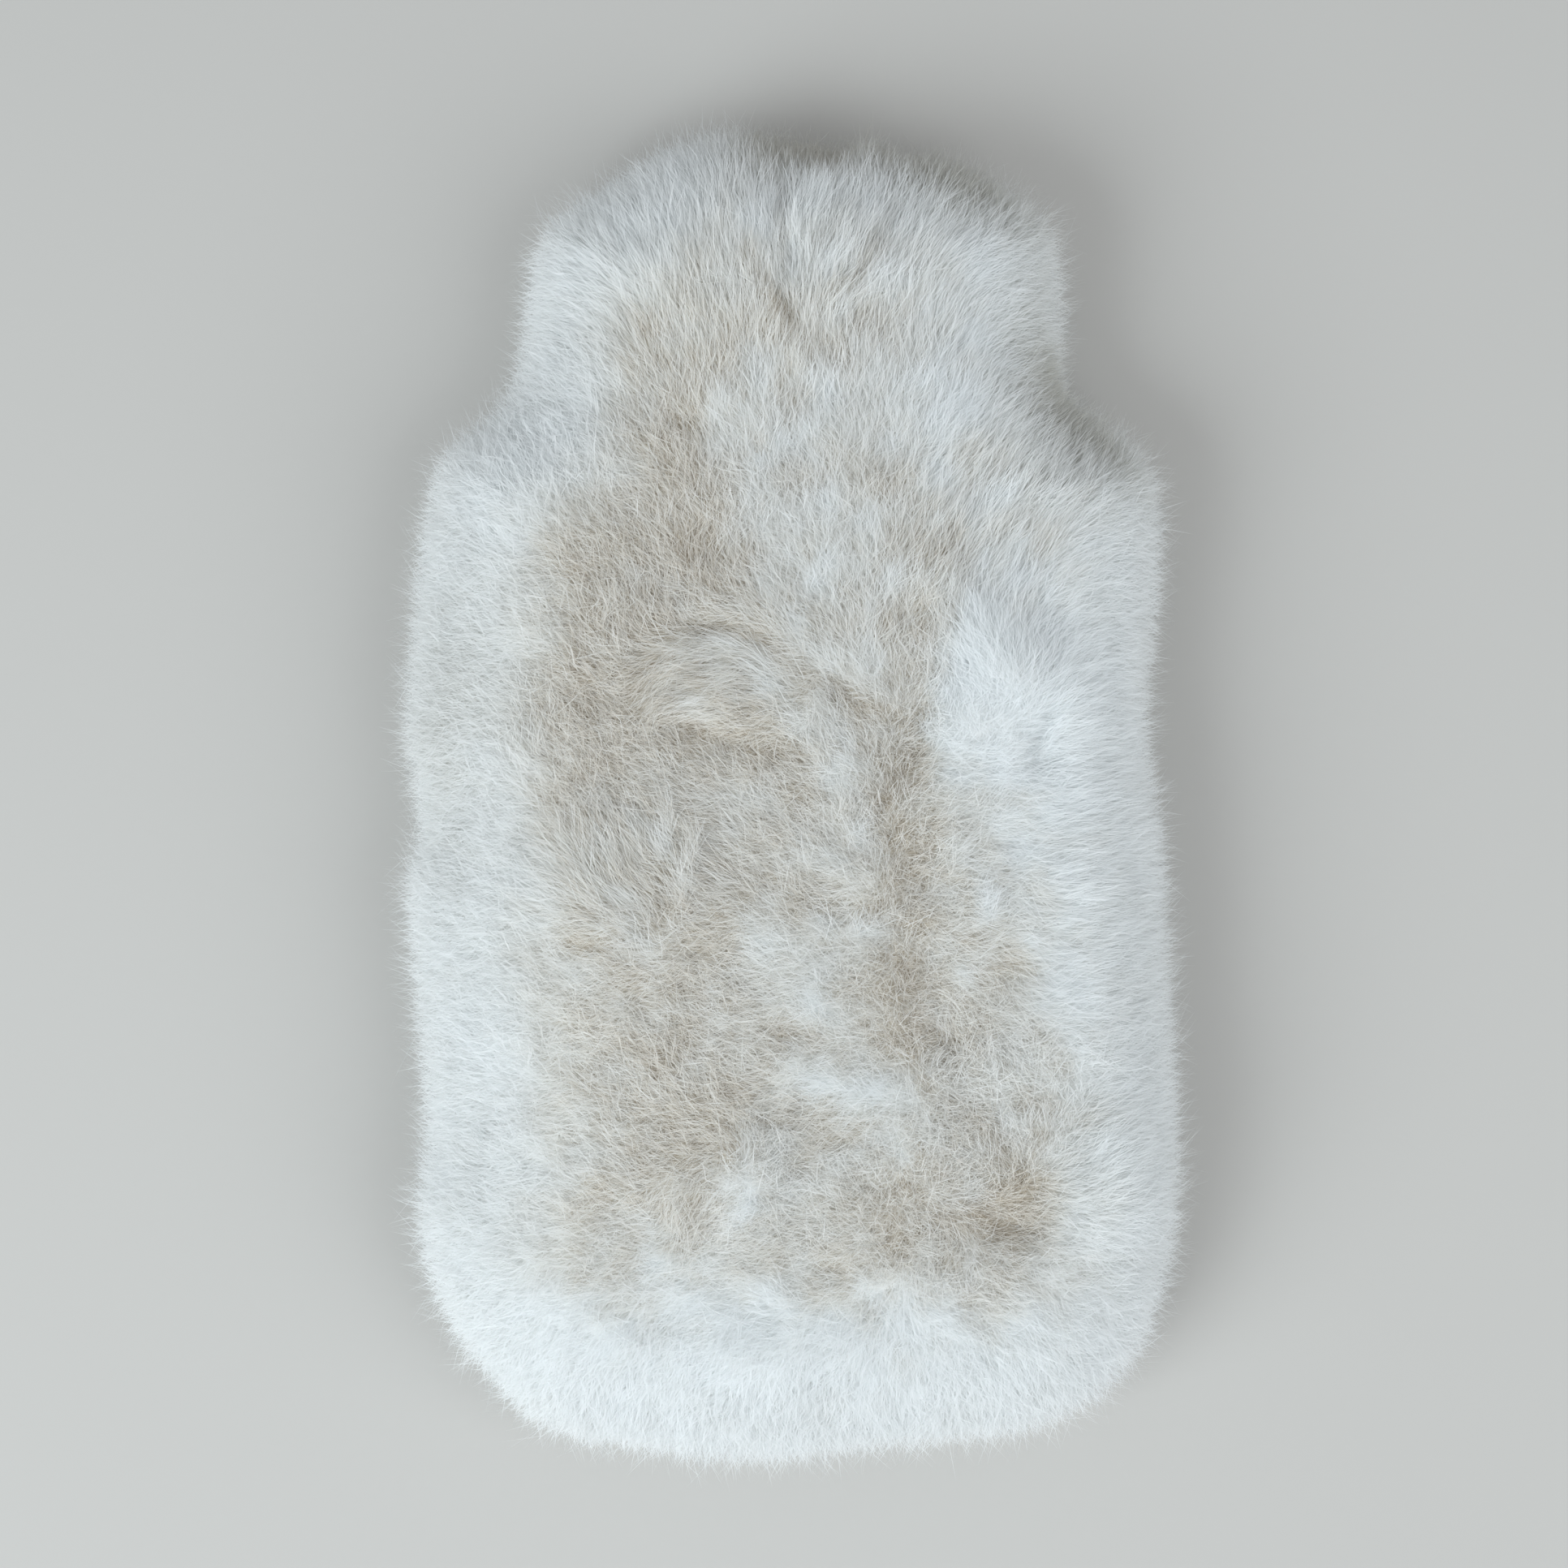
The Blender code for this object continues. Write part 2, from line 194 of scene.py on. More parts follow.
LUMPS = (
    Lump("head parting", -0.001, 0.162, 0.030, 0.006, 92, -0.0030),
    Lump("head top hollow", 0.004, 0.183, 0.018, 0.010, 0, -0.0045),
    Lump("head left swell", -0.042, 0.158, 0.036, 0.022, 100, 0.0030),
    Lump("head right swell", 0.036, 0.156, 0.026, 0.018, 60, 0.0025),
    Lump("right shoulder dip", 0.080, 0.109, 0.024, 0.012, -45, -0.0070),
    Lump("left shoulder swell", -0.080, 0.084, 0.026, 0.018, 100, 0.0032),
    Lump("dome", -0.020, 0.033, 0.018, 0.011, 15, 0.0014),
    Lump("right lobe", 0.060, 0.036, 0.022, 0.011, -50, 0.0044),
    Lump("lobe hollow", 0.067, 0.014, 0.010, 0.005, 62, -0.0026),
    Lump("upper trough", 0.034, 0.016, 0.018, 0.006, 64, -0.0024),
    Lump("long trough", 0.034, -0.024, 0.044, 0.008, 92, -0.0018),
    Lump("trough fold", 0.042, -0.068, 0.010, 0.006, 90, -0.0018),
    Lump("middle swell", -0.050, -0.030, 0.050, 0.020, 82, 0.0025),
    Lump("right swell", 0.075, -0.055, 0.040, 0.016, 88, 0.0030),
    Lump("lower tousle", -0.013, -0.106, 0.014, 0.010, 60, 0.0030),
    Lump("dark swirl", 0.058, -0.119, 0.013, 0.009, 10, -0.0040),
    Lump("right fan", 0.091, -0.105, 0.014, 0.008, 70, 0.0024),
    Lump("foot swell", 0.000, -0.158, 0.060, 0.014, 0, 0.0030),
)
# Locks and creases raise and sink the wool and turn the combing, and they also colour the pile. A crease's
# strands are painted darker and creamier, which is painted shade along with some of the roots' own beige. A
# standing lock's strands are painted lighter and whiter, which is a painted highlight. The names that say
# dusk, brown or warm mark creases of painted shade.
LOCKS = (
    Lump("fan heart", -0.003, 0.136, 0.009, 0.003, 118, -0.0033),
    Lump("fan crease", -0.003, 0.158, 0.014, 0.002, 95, -0.0022),
    Lump("fan right crease", 0.026, 0.157, 0.012, 0.003, 63, -0.0021),
    Lump("under the fan", 0.009, 0.124, 0.007, 0.002, 92, -0.0014),
    Lump("head top hollow", 0.003, 0.187, 0.014, 0.007, 0, -0.0022),
    Lump("head top wedge", 0.012, 0.182, 0.011, 0.0034, 62, -0.0026),
    Lump("head top gap", 0.033, 0.185, 0.007, 0.006, 60, -0.0018),
    Lump("neck left cream", -0.043, 0.121, 0.012, 0.006, -20, -0.0010),
    Lump("shoulder cream", -0.028, 0.102, 0.008, 0.004, -10, -0.0012),
    Lump("neck hollow", 0.080, 0.117, 0.012, 0.008, 45, -0.0018),
    Lump("upper left dusk", -0.058, 0.060, 0.006, 0.006, 0, -0.0010),
    Lump("upper middle dusk", -0.022, 0.068, 0.010, 0.005, 100, -0.0012),
    Lump("left dusk", -0.056, 0.027, 0.008, 0.004, -15, -0.0014),
    Lump("dome top crease left", -0.024, 0.0465, 0.008, 0.0022, 2, -0.0026),
    Lump("dome top crease right", -0.010, 0.0430, 0.008, 0.0022, -28, -0.0026),
    Lump("dome foot crease left", -0.034, 0.0195, 0.007, 0.0026, 0, -0.0026),
    Lump("dome foot crease", -0.024, 0.0170, 0.008, 0.0030, -28, -0.0032),
    Lump("dome foot crease right", -0.010, 0.0130, 0.009, 0.0028, -10, -0.0026),
    Lump("dome heart", 0.001, 0.035, 0.005, 0.003, 20, -0.0016),
    Lump("brown crease", 0.0145, 0.0275, 0.008, 0.0024, -38, -0.0034),
    Lump("upper trough", 0.034, 0.017, 0.010, 0.0028, 62, -0.0018),
    Lump("trough mouth", 0.030, 0.007, 0.007, 0.0034, 50, -0.0014),
    Lump("trough", 0.035, -0.016, 0.010, 0.0034, 105, -0.0010),
    Lump("trough fold", 0.034, -0.048, 0.006, 0.0024, 60, -0.0014),
    Lump("trough foot", 0.037, -0.058, 0.005, 0.0024, 80, -0.0014),
    Lump("right of the trough", 0.038, 0.049, 0.008, 0.004, 15, -0.0014),
    Lump("lobe heart", 0.068, 0.018, 0.008, 0.0024, 64, -0.0020),
    Lump("right dusk", 0.062, -0.046, 0.010, 0.006, 20, -0.0012),
    Lump("left warm spot", -0.058, -0.041, 0.011, 0.0034, -8, -0.0016),
    Lump("left brown line", -0.043, -0.057, 0.007, 0.0024, -70, -0.0014),
    Lump("lower warm spot", -0.032, -0.053, 0.006, 0.005, 0, -0.0014),
    Lump("lower warm line", -0.031, -0.067, 0.005, 0.003, -40, -0.0014),
    Lump("middle warm spot", -0.003, -0.066, 0.005, 0.003, 0, -0.0014),
    Lump("swirl gap", 0.023, -0.031, 0.006, 0.0022, 35, -0.0016),
    Lump("brown spot", 0.025, -0.055, 0.005, 0.003, 10, -0.0020),
    Lump("curly brown spot", 0.044, -0.068, 0.006, 0.0034, 0, -0.0022),
    Lump("right brown line", 0.0755, -0.075, 0.006, 0.0020, 110, -0.0016),
    Lump("low line", 0.009, -0.131, 0.011, 0.0026, 8, -0.0020),
    Lump("low spot", 0.024, -0.124, 0.004, 0.003, 0, -0.0014),
    Lump("low spot above", 0.031, -0.110, 0.005, 0.004, 100, -0.0014),
    Lump("dark swirl heart", 0.059, -0.120, 0.008, 0.005, -30, -0.0028),
    Lump("dark swirl arm", 0.066, -0.111, 0.005, 0.003, 0, -0.0016),
    Lump("foot stroke", 0.051, -0.144, 0.010, 0.006, 110, -0.0012),
    Lump("right foot spot", 0.081, -0.134, 0.008, 0.004, 15, -0.0014),
    Lump("head bright lock", 0.006, 0.167, 0.013, 0.0034, 64, 0.0024),
    Lump("head second lock", 0.012, 0.150, 0.016, 0.004, 55, 0.0017),
    Lump("head third lock", 0.016, 0.138, 0.011, 0.003, 35, 0.0017),
    Lump("head top clump", 0.021, 0.183, 0.008, 0.003, 80, 0.0016),
    Lump("neck bright lock", 0.046, 0.110, 0.014, 0.006, 76, 0.0021),
    Lump("shoulder bright lock", 0.060, 0.086, 0.012, 0.004, 55, 0.0018),
    Lump("upper bright lock", 0.007, 0.062, 0.010, 0.003, 60, 0.0010),
    Lump("upper right bright lock", 0.028, 0.063, 0.009, 0.003, 62, 0.0014),
    Lump("upper streak", 0.022, 0.048, 0.009, 0.003, 105, 0.0014),
    Lump("upper white", -0.005, 0.053, 0.010, 0.006, 122, 0.0014),
    Lump("stray lock", -0.053, 0.049, 0.008, 0.0013, 61, 0.0018),
    Lump("dome arc top", -0.019, 0.0420, 0.009, 0.0018, 174, 0.0012),
    Lump("dome arc left", -0.034, 0.0365, 0.008, 0.0020, 218, 0.0013),
    Lump("dome arc middle", -0.017, 0.0345, 0.010, 0.0020, 194, 0.0010),
    Lump("dome arc low", -0.027, 0.0270, 0.010, 0.0020, 206, 0.0011),
    Lump("dome ridge", 0.0055, 0.026, 0.007, 0.0024, 245, 0.0012),
    Lump("white tips", 0.023, 0.016, 0.008, 0.004, 142, 0.0020),
    Lump("lower white tips", 0.018, 0.007, 0.009, 0.005, 146, 0.0018),
    Lump("lobe", 0.056, 0.036, 0.018, 0.010, 128, 0.0016),
    Lump("lobe right side", 0.076, 0.030, 0.014, 0.006, 74, 0.0014),
    Lump("lobe foot", 0.048, 0.018, 0.008, 0.004, 170, 0.0014),
    Lump("left curl", -0.0355, -0.012, 0.006, 0.0018, 80, 0.0016),
    Lump("bright lock", -0.029, -0.021, 0.009, 0.003, 72, 0.0018),
    Lump("short bright lock", -0.033, -0.036, 0.006, 0.0018, 46, 0.0016),
    Lump("broad tuft", 0.0165, -0.007, 0.006, 0.005, 100, 0.0016),
    Lump("middle white", 0.010, -0.018, 0.013, 0.004, 157, 0.0014),
    Lump("centre white", -0.007, -0.046, 0.015, 0.009, 160, 0.0007),
    Lump("swirl bright lock", 0.008, -0.037, 0.007, 0.0024, 128, 0.0018),
    Lump("swirl tuft", 0.021, -0.036, 0.008, 0.003, 32, 0.0018),
    Lump("white curl", 0.054, -0.031, 0.005, 0.0020, 112, 0.0014),
    Lump("white spot", -0.003, -0.073, 0.006, 0.004, 165, 0.0014),
    Lump("white band", 0.022, -0.083, 0.015, 0.005, 177, 0.0011),
    Lump("lower right lock", 0.056, -0.076, 0.008, 0.003, 150, 0.0014),
    Lump("tousle arc", -0.012, -0.102, 0.009, 0.0034, 30, 0.0020),
    Lump("tousle arc tip", -0.005, -0.108, 0.006, 0.0024, 8, 0.0016),
    Lump("tousle tuft", -0.016, -0.115, 0.007, 0.0024, 232, 0.0020),
    Lump("tousle left", -0.032, -0.111, 0.006, 0.0024, 260, 0.0014),
    Lump("tousle top", -0.013, -0.094, 0.006, 0.004, 110, 0.0014),
    Lump("low tuft", -0.004, -0.139, 0.009, 0.003, 148, 0.0014),
    Lump("right fan", 0.090, -0.103, 0.013, 0.006, 74, 0.0018),
    Lump("right fan foot", 0.097, -0.115, 0.010, 0.004, 28, 0.0014),
)
COMB_MARKS = (
    CombMark("head left", -0.045, 0.165, 101, 0.022),
    CombMark("head far left", -0.068, 0.155, 138, 0.018),
    CombMark("head left of parting", -0.018, 0.160, 99, 0.012),
    CombMark("head right of parting", 0.012, 0.160, 62, 0.012),
    CombMark("head right", 0.042, 0.155, 40, 0.020),
    CombMark("head top right", 0.045, 0.176, 46, 0.014),
    CombMark("head far right", 0.066, 0.158, 20, 0.014),
    CombMark("neck middle", 0.000, 0.118, 91, 0.018),
    CombMark("neck right", 0.030, 0.128, 76, 0.016),
    CombMark("neck left", -0.040, 0.120, 108, 0.018),
    CombMark("left shoulder", -0.078, 0.085, 128, 0.026),
    CombMark("upper left", -0.048, 0.062, 118, 0.022),
    CombMark("upper middle", -0.016, 0.080, 104, 0.022),
    CombMark("upper right", 0.050, 0.085, 62, 0.026),
    CombMark("under the dome", -0.030, 0.010, 148, 0.014),
    CombMark("beside the dome", 0.013, 0.018, 138, 0.010),
    CombMark("lobe left", 0.050, 0.034, 128, 0.013),
    CombMark("lobe right", 0.078, 0.030, 72, 0.014),
    CombMark("right of the trough", 0.048, 0.002, 6, 0.014),
    CombMark("left middle", -0.066, 0.012, 128, 0.022),
    CombMark("left waves", -0.048, -0.018, 97, 0.016),
    CombMark("middle", -0.004, -0.010, 152, 0.022),
    CombMark("middle low", -0.006, -0.034, 168, 0.014),
    CombMark("dome right", -0.006, 0.039, 148, 0.008),
    CombMark("dome top", -0.021, 0.042, 187, 0.008),
    CombMark("dome left", -0.036, 0.033, 228, 0.008),
    CombMark("dome low left", -0.038, 0.024, 252, 0.006),
    CombMark("dome middle", -0.020, 0.030, 206, 0.009),
    CombMark("dome low middle", -0.012, 0.023, 190, 0.006),
    CombMark("swirl", 0.022, -0.042, 186, 0.009),
    CombMark("right of trough low", 0.048, -0.048, -46, 0.012),
    CombMark("right side", 0.082, -0.030, 12, 0.024),
    CombMark("lower left", -0.085, -0.110, 184, 0.036),
    CombMark("lower middle", -0.040, -0.078, 150, 0.022),
    CombMark("white band", 0.022, -0.084, 176, 0.014),
    CombMark("lower right arc", 0.050, -0.092, 160, 0.012),
    CombMark("lower right", 0.070, -0.084, 144, 0.014),
    CombMark("tousle left", -0.026, -0.112, 256, 0.010),
    CombMark("below the tousle", 0.005, -0.124, 188, 0.014),
    CombMark("left of dark swirl", 0.044, -0.126, 216, 0.010),
    CombMark("above dark swirl", 0.060, -0.103, 114, 0.009),
    CombMark("below dark swirl", 0.062, -0.134, -52, 0.010),
    CombMark("right fan", 0.088, -0.104, 78, 0.010),
    CombMark("foot left", -0.050, -0.165, 245, 0.028),
    CombMark("foot middle", 0.005, -0.170, 250, 0.024),
    CombMark("foot right", 0.060, -0.165, -56, 0.024),
)
BRUSHED_PLACES = (
    Place("head", 0.000, 0.150, 0.075, 0.045, 0),
    Place("right shoulder", 0.065, 0.085, 0.045, 0.028, 60),
    Place("right side", 0.085, -0.010, 0.060, 0.020, 90),
    Place("left of the middle", -0.040, -0.020, 0.030, 0.016, 10),
    Place("right fan", 0.088, -0.100, 0.020, 0.014, 70),
    Place("dome", -0.020, 0.032, 0.022, 0.014, 10),
)
WARM_PATCHES = (
    WarmPatch("upper left", -0.044, 0.066, 0.056, 0.028, 90, 0.40, -0.10),
    WarmPatch("left hollow", -0.058, 0.024, 0.022, 0.014, 90, 0.20, -0.20),
    WarmPatch("lower left", -0.030, -0.075, 0.055, 0.026, 90, 0.30),
    WarmPatch("neck left", -0.050, 0.112, 0.024, 0.016, 90, 0.30, 0.10),
    # Painted light: the corner between head and shoulder, which faces the light, is coloured lighter. It is
    # also a little whiter.
    WarmPatch("left shoulder", -0.088, 0.097, 0.024, 0.014, 130, -0.10, 0.70),
    WarmPatch("head left", -0.030, 0.140, 0.030, 0.020, 90, 0.17, 0.50),
    WarmPatch("head middle", -0.008, 0.134, 0.026, 0.018, 90, 0.14, 0.60),
    WarmPatch("head white", 0.000, 0.165, 0.080, 0.024, 0, -0.26, 0.20),
    WarmPatch("head right white", 0.048, 0.135, 0.040, 0.020, 90, -0.28, 0.20),
    WarmPatch("neck white", 0.020, 0.112, 0.040, 0.016, 0, -0.36, 0.20),
    WarmPatch("upper white", -0.004, 0.088, 0.024, 0.014, 90, -0.25),
    WarmPatch("right of the dome", 0.010, 0.055, 0.024, 0.018, 90, -0.26, 0.20),
    WarmPatch("right white", 0.069, 0.012, 0.055, 0.025, 90, -0.48, 0.52),
    WarmPatch("lobe white", 0.062, 0.034, 0.030, 0.018, -56, -0.44, 0.46),
    WarmPatch("long trough", 0.032, -0.005, 0.050, 0.010, 90, 0.26, -0.10),
    WarmPatch("middle white", -0.004, -0.050, 0.030, 0.016, 0, -0.16),
    WarmPatch("right side white", 0.082, -0.075, 0.050, 0.014, 90, -0.24, 0.20),
    WarmPatch("tousle white", 0.016, -0.083, 0.026, 0.014, 0, -0.30),
    WarmPatch("tousle", -0.012, -0.104, 0.020, 0.012, 0, -0.10),
    # Painted shade in the dark swirl's hollow, which is coloured darker and creamier, like the roots.
    WarmPatch("dark swirl", 0.060, -0.118, 0.018, 0.014, 0, 0.46, -0.60),
    WarmPatch("left edge cream", -0.078, 0.030, 0.070, 0.014, 92, 0.22, 0.40),
    WarmPatch("left low cream", -0.070, -0.085, 0.050, 0.014, 90, 0.20, 0.45),
    WarmPatch("foot white", 0.000, -0.158, 0.095, 0.020, 0, -0.80, 0.20),
)
# Painted shade on the rim's top, where it faces away from the light: these patches colour its strands darker
# (light < 0) and creamier, towards the roots' colour. The left rim's patch is also a little creamier of its
# own.
RIM_SHADE_PATCHES = (
    WarmPatch("left rim cream", -0.098, 0.022, 0.046, 0.016, 90, 0.12, -0.40),
    WarmPatch("head top hollow", 0.006, 0.188, 0.022, 0.011, 0, 0.26, -2.50),
    WarmPatch("head top right", 0.046, 0.179, 0.024, 0.011, -30, 0.18, -2.10),
    WarmPatch("right shoulder dip", 0.081, 0.110, 0.027, 0.011, -46, 0.16, -1.50),
    WarmPatch("head right side", 0.074, 0.148, 0.030, 0.012, 95, 0.05, -0.40),
)
LOCK_RISE = 0.002
STRONGEST_MOOD = 1.3


def lock_mood(plan: np.ndarray) -> np.ndarray:
    """Return how far places lie in a standing lock (> 0) or an open crease (< 0)."""
    mood = sum(lock.rise / LOCK_RISE * lock.share(plan) for lock in LOCKS)
    return np.clip(mood, -STRONGEST_MOOD, STRONGEST_MOOD)


# ---------------------------------------------------------------- small maths


def unit(vectors: np.ndarray) -> np.ndarray:
    """Scale vectors in the last axis to length 1."""
    return vectors / np.maximum(np.linalg.norm(vectors, axis=-1, keepdims=True), 1e-12)


def ease(share: np.ndarray) -> np.ndarray:
    """Ease from 0 to 1 as share goes from 0 to 1: 3 s^2 - 2 s^3."""
    share = np.clip(share, 0.0, 1.0)
    return share * share * (3.0 - 2.0 * share)


def scatter_bits(cells: np.ndarray, salt: int) -> np.ndarray:
    """Turn whole-number cells into even fractions from 0 to 1.

    Args:
        cells: (..., 3) integer cell coordinates.
        salt: a number that picks one of many such patterns.

    Returns:
        An array of fractions, the same for the same cell and salt.
    """
    x, y, z = np.moveaxis((cells.astype(np.int64) + CELL_SPAN) * CELL_MIXERS, -1, 0)
    first, second, third = BIT_MIXERS
    bits = (x ^ y ^ z ^ (salt * first)) & BITS_32
    bits = ((bits ^ (bits >> 15)) * second) & BITS_32
    bits = ((bits ^ (bits >> 13)) * third) & BITS_32
    return ((bits ^ (bits >> 16)) & BITS_24) / (BITS_24 + 1.0)


def soft_noise(points: np.ndarray, size: float, salt: int) -> np.ndarray:
    """Smooth noise from -1 to 1 whose features measure about size.

    Each corner of a lattice of that pitch holds an even fraction, and a point
    takes the eased blend of its cell's eight corners.

    Args:
        points: (n, 3) places.
        size: the lattice's pitch.
        salt: which pattern.

    Returns:
        (n,) values from -1 to 1.
    """
    at = points / size
    cell = np.floor(at).astype(np.int64)
    blend = ease(at - cell)
    total = np.zeros(len(points))
    for corner in np.ndindex(2, 2, 2):
        step = np.array(corner)
        weight = np.prod(np.where(step, blend, 1.0 - blend), axis=1)
        total += weight * scatter_bits(cell + step, salt)
    return 2.0 * total - 1.0


def layered_noise(points: np.ndarray, layers: Sequence[tuple[float, float]], salt: int) -> np.ndarray:
    """Add up soft noises, each given as its size and its weight."""
    return sum(weight * soft_noise(points, size, salt + k) for k, (size, weight) in enumerate(layers))


def nearest_tuft(points: np.ndarray, size: float, salt: int) -> np.ndarray:
    """Gather points into tufts about size apart.

    Each cell of a lattice of that pitch holds one centre, shifted at random,
    and a point belongs to the nearest of the 27 centres round it.

    Args:
        points: (n, 3) places.
        size: the lattice's pitch.
        salt: which pattern.

    Returns:
        The number of each point's tuft, counted from 0.
    """
    cell = np.floor(points / size).astype(np.int64)
    best = np.full(len(points), np.inf)
    owner = np.zeros_like(cell)
    for corner in np.ndindex(3, 3, 3):
        near = cell + np.array(corner) - 1
        shift = np.stack([scatter_bits(near, salt + k) for k in range(3)], axis=1)
        away = np.sum((points - (near + shift) * size) ** 2, axis=1)
        closer = away < best
        best[closer] = away[closer]
        owner[closer] = near[closer]
    x, y, z = (owner + CELL_SPAN).T
    key = (x * 2 * CELL_SPAN + y) * 2 * CELL_SPAN + z
    return np.unique(key, return_inverse=True)[1]


def tuft_mean(values: np.ndarray, tuft: np.ndarray) -> np.ndarray:
    """Give each strand the mean of its tuft's values.

    Args:
        values: (n, k) values of the strands.
        tuft: the number of each strand's tuft.

    Returns:
        (n, k) means.
    """
    count = np.bincount(tuft)
    means = np.stack([np.bincount(tuft, column) / count for column in values.T], axis=1)
    return means[tuft]


# ------------------------------------------------------------------- the form


class Side(Enum):
    """Which way up a panel lies."""

    FRONT = 1
    BACK = -1


@dataclass
class CoverForm:
    """The cover's soft form: a section carried round its outline.

    The wool's section starts at the flat back, runs out round the rim and over
    to the crown, and closes on a line down the middle. The two hides lie inside
    it, with the pocket for the bottle between them.
    """

    tip_reach: float = 0.0084
    outline_points: int = 1440
    outline_softening: int = 60
    widest_softening: int = 30
    normal_softening: int = 2
    reach_softening: int = 6
    points_round: int = 380
    rest_height: float = 0.0012
    foot_inset: float = 0.012
    widest_height: float = 0.020
    rim_round: float = 0.036
    rim_turn_deg: float = 66.0
    rim_share: float = 0.30
    rim_top: float = 0.0490
    rim_rings: int = 17
    crown_rise: float = 0.0026
    crown_haste: float = 1.2
    crown_rings: int = 33
    flat_rings: int = 14
    edge_rings: int = 9
    spine_foot: float = -0.118
    spine_head: float = 0.140
    seam_height: float = 0.0175
    seam_inset: float = 0.0055
    seam_offsets: tuple[float, float] = (0.00003, 0.00023)
    seam_rounding: float = 0.0002
    pocket_inset: float = 0.0110
    pocket_height: float = 0.010
    pocket_turn_rings: int = 5
    pocket_roof_rings: int = 7
    hide_thickness: float = 0.0012
    relief: float = 0.0011
    tousles: tuple[tuple[float, float], ...] = ((0.012, 1.0), (0.0060, 0.5))
    tousle_haste: float = 5.0
    tousled_at: tuple[tuple[float, ...], tuple[float, ...]] = ((0, 17, 24), (0.35, 0.5, 1.0))
    finest_lump: float = 0.0032
    lock_relief: float = 0.55
    loop: np.ndarray = field(init=False)
    out: np.ndarray = field(init=False)
    reach: np.ndarray = field(init=False)
    spine: np.ndarray = field(init=False)

    def __post_init__(self) -> None:
        """Work out the wool's widest line and the line that the rings close on."""
        tips = self._spread(self._smooth_loop(self.outline_points), self.outline_points)
        inner = tips - self.tip_reach * self._outward(self._soften(tips, self.outline_softening))
        widest = self._spread(self._soften(inner, self.widest_softening), self.outline_points)
        low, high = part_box("front_panel")
        middle = (widest.min(axis=0) + widest.max(axis=0)) / 2
        shift = np.array([low[0] + high[0], low[1] + high[1]]) / 2 - middle
        self.loop = self._halves(widest + shift, self.points_round)
        self.out = self._outward(self._soften(self.loop, self.normal_softening))
        gaps = self.loop[:, None] - (tips + shift)[None]
        self.reach = self._soften(np.sqrt(np.min(np.sum(gaps**2, axis=2), axis=1)), self.reach_softening)
        mirror = np.roll(self.loop[::-1], 1, axis=0)
        middle = (self.loop + mirror) / 2
        side = middle[: self.points_round // 2 + 1]
        at = np.clip(middle[:, 1], self.spine_foot, self.spine_head)
        self.spine = np.column_stack([np.interp(at, side[:, 1], side[:, 0]), at])

    @staticmethod
    def _smooth_loop(count: int) -> np.ndarray:
        """Return a closed Catmull-Rom curve through the outline's stations.

        Between stations b and c it is half of 2b + (c - a)t + (2a - 5b + 4c - d)t^2
        + (3b - a - 3c + d)t^3, where a and d are the stations before and after.

        Args:
            count: how many points.

        Returns:
            (count, 2) points, anticlockwise from the foot.
        """
        right = [(row.right, row.y) for row in SECTIONS]
        left = [(row.left, row.y) for row in reversed(SECTIONS)]
        points = np.array([FOOT_TIP, *right, HEAD_TIP, *left])
        share = np.arange(count) / count * len(points)
        piece = share.astype(int)
        t = (share - piece)[:, None]
        before, start, end, after = (points[(piece + k) % len(points)] for k in (-1, 0, 1, 2))
        return 0.5 * (
            2 * start
            + (end - before) * t
            + (2 * before - 5 * start + 4 * end - after) * t**2
            + (3 * start - before - 3 * end + after) * t**3
        )

    @staticmethod
    def _along(path: np.ndarray, count: int) -> np.ndarray:
        """Return count points at even steps of arc length along an open path.

        Args:
            path: (n, 2) points.
            count: how many points to return.

        Returns:
            (count, 2) points, both ends among them.
        """
        arc = np.concatenate([[0.0], np.cumsum(np.linalg.norm(np.diff(path, axis=0), axis=1))])
        at = np.linspace(0.0, arc[-1], count)
        return np.column_stack([np.interp(at, arc, path[:, k]) for k in (0, 1)])

    @classmethod
    def _spread(cls, loop: np.ndarray, count: int) -> np.ndarray:
        """Return count points at even steps round a closed loop."""
        return cls._along(np.vstack([loop, loop[:1]]), count + 1)[:-1]

    @classmethod
    def _halves(cls, loop: np.ndarray, count: int) -> np.ndarray:
        """Share count points between the right and left sides, foot first.

        Args:
            loop: (n, 2) points of a closed loop.
            count: how many points to return, an even number.

        Returns:
            (count, 2) points, up the right side and down the left.
        """
        turned = np.roll(loop, -int(np.argmin(loop[:, 1])), axis=0)
        head = int(np.argmax(turned[:, 1]))
        right = cls._along(turned[: head + 1], count // 2 + 1)
        left = cls._along(np.vstack([turned[head:], turned[:1]]), count // 2 + 1)
        return np.vstack([right[:-1], left[:-1]])

    @staticmethod
    def _outward(loop: np.ndarray) -> np.ndarray:
        """Return the unit outward normals of an anticlockwise loop."""
        along = np.roll(loop, -1, axis=0) - np.roll(loop, 1, axis=0)
        return unit(np.column_stack([along[:, 1], -along[:, 0]]))

    @staticmethod
    def _soften(values: np.ndarray, passes: int) -> np.ndarray:
        """Average each row of a closed loop with its neighbours, several times.

        Args:
            values: (n, ...) rows of a closed loop.
            passes: how many times.

        Returns:
            The softened rows.
        """
        for _ in range(passes):
            values = (np.roll(values, 1, axis=0) + 2 * values + np.roll(values, -1, axis=0)) / 4
        return values

    def lumps(self, plan: np.ndarray) -> np.ndarray:
        """Add up the soft ridges and troughs, with a share of the locks and creases.

        Args:
            plan: (n, 2) places, seen from above.

        Returns:
            (n,) heights.
        """
        broad = sum(lump.rise * lump.share(plan) for lump in LUMPS)
        fine = sum(lock.rise * lock.share(plan, narrowest=self.finest_lump) for lock in LOCKS)
        return broad + self.lock_relief * fine

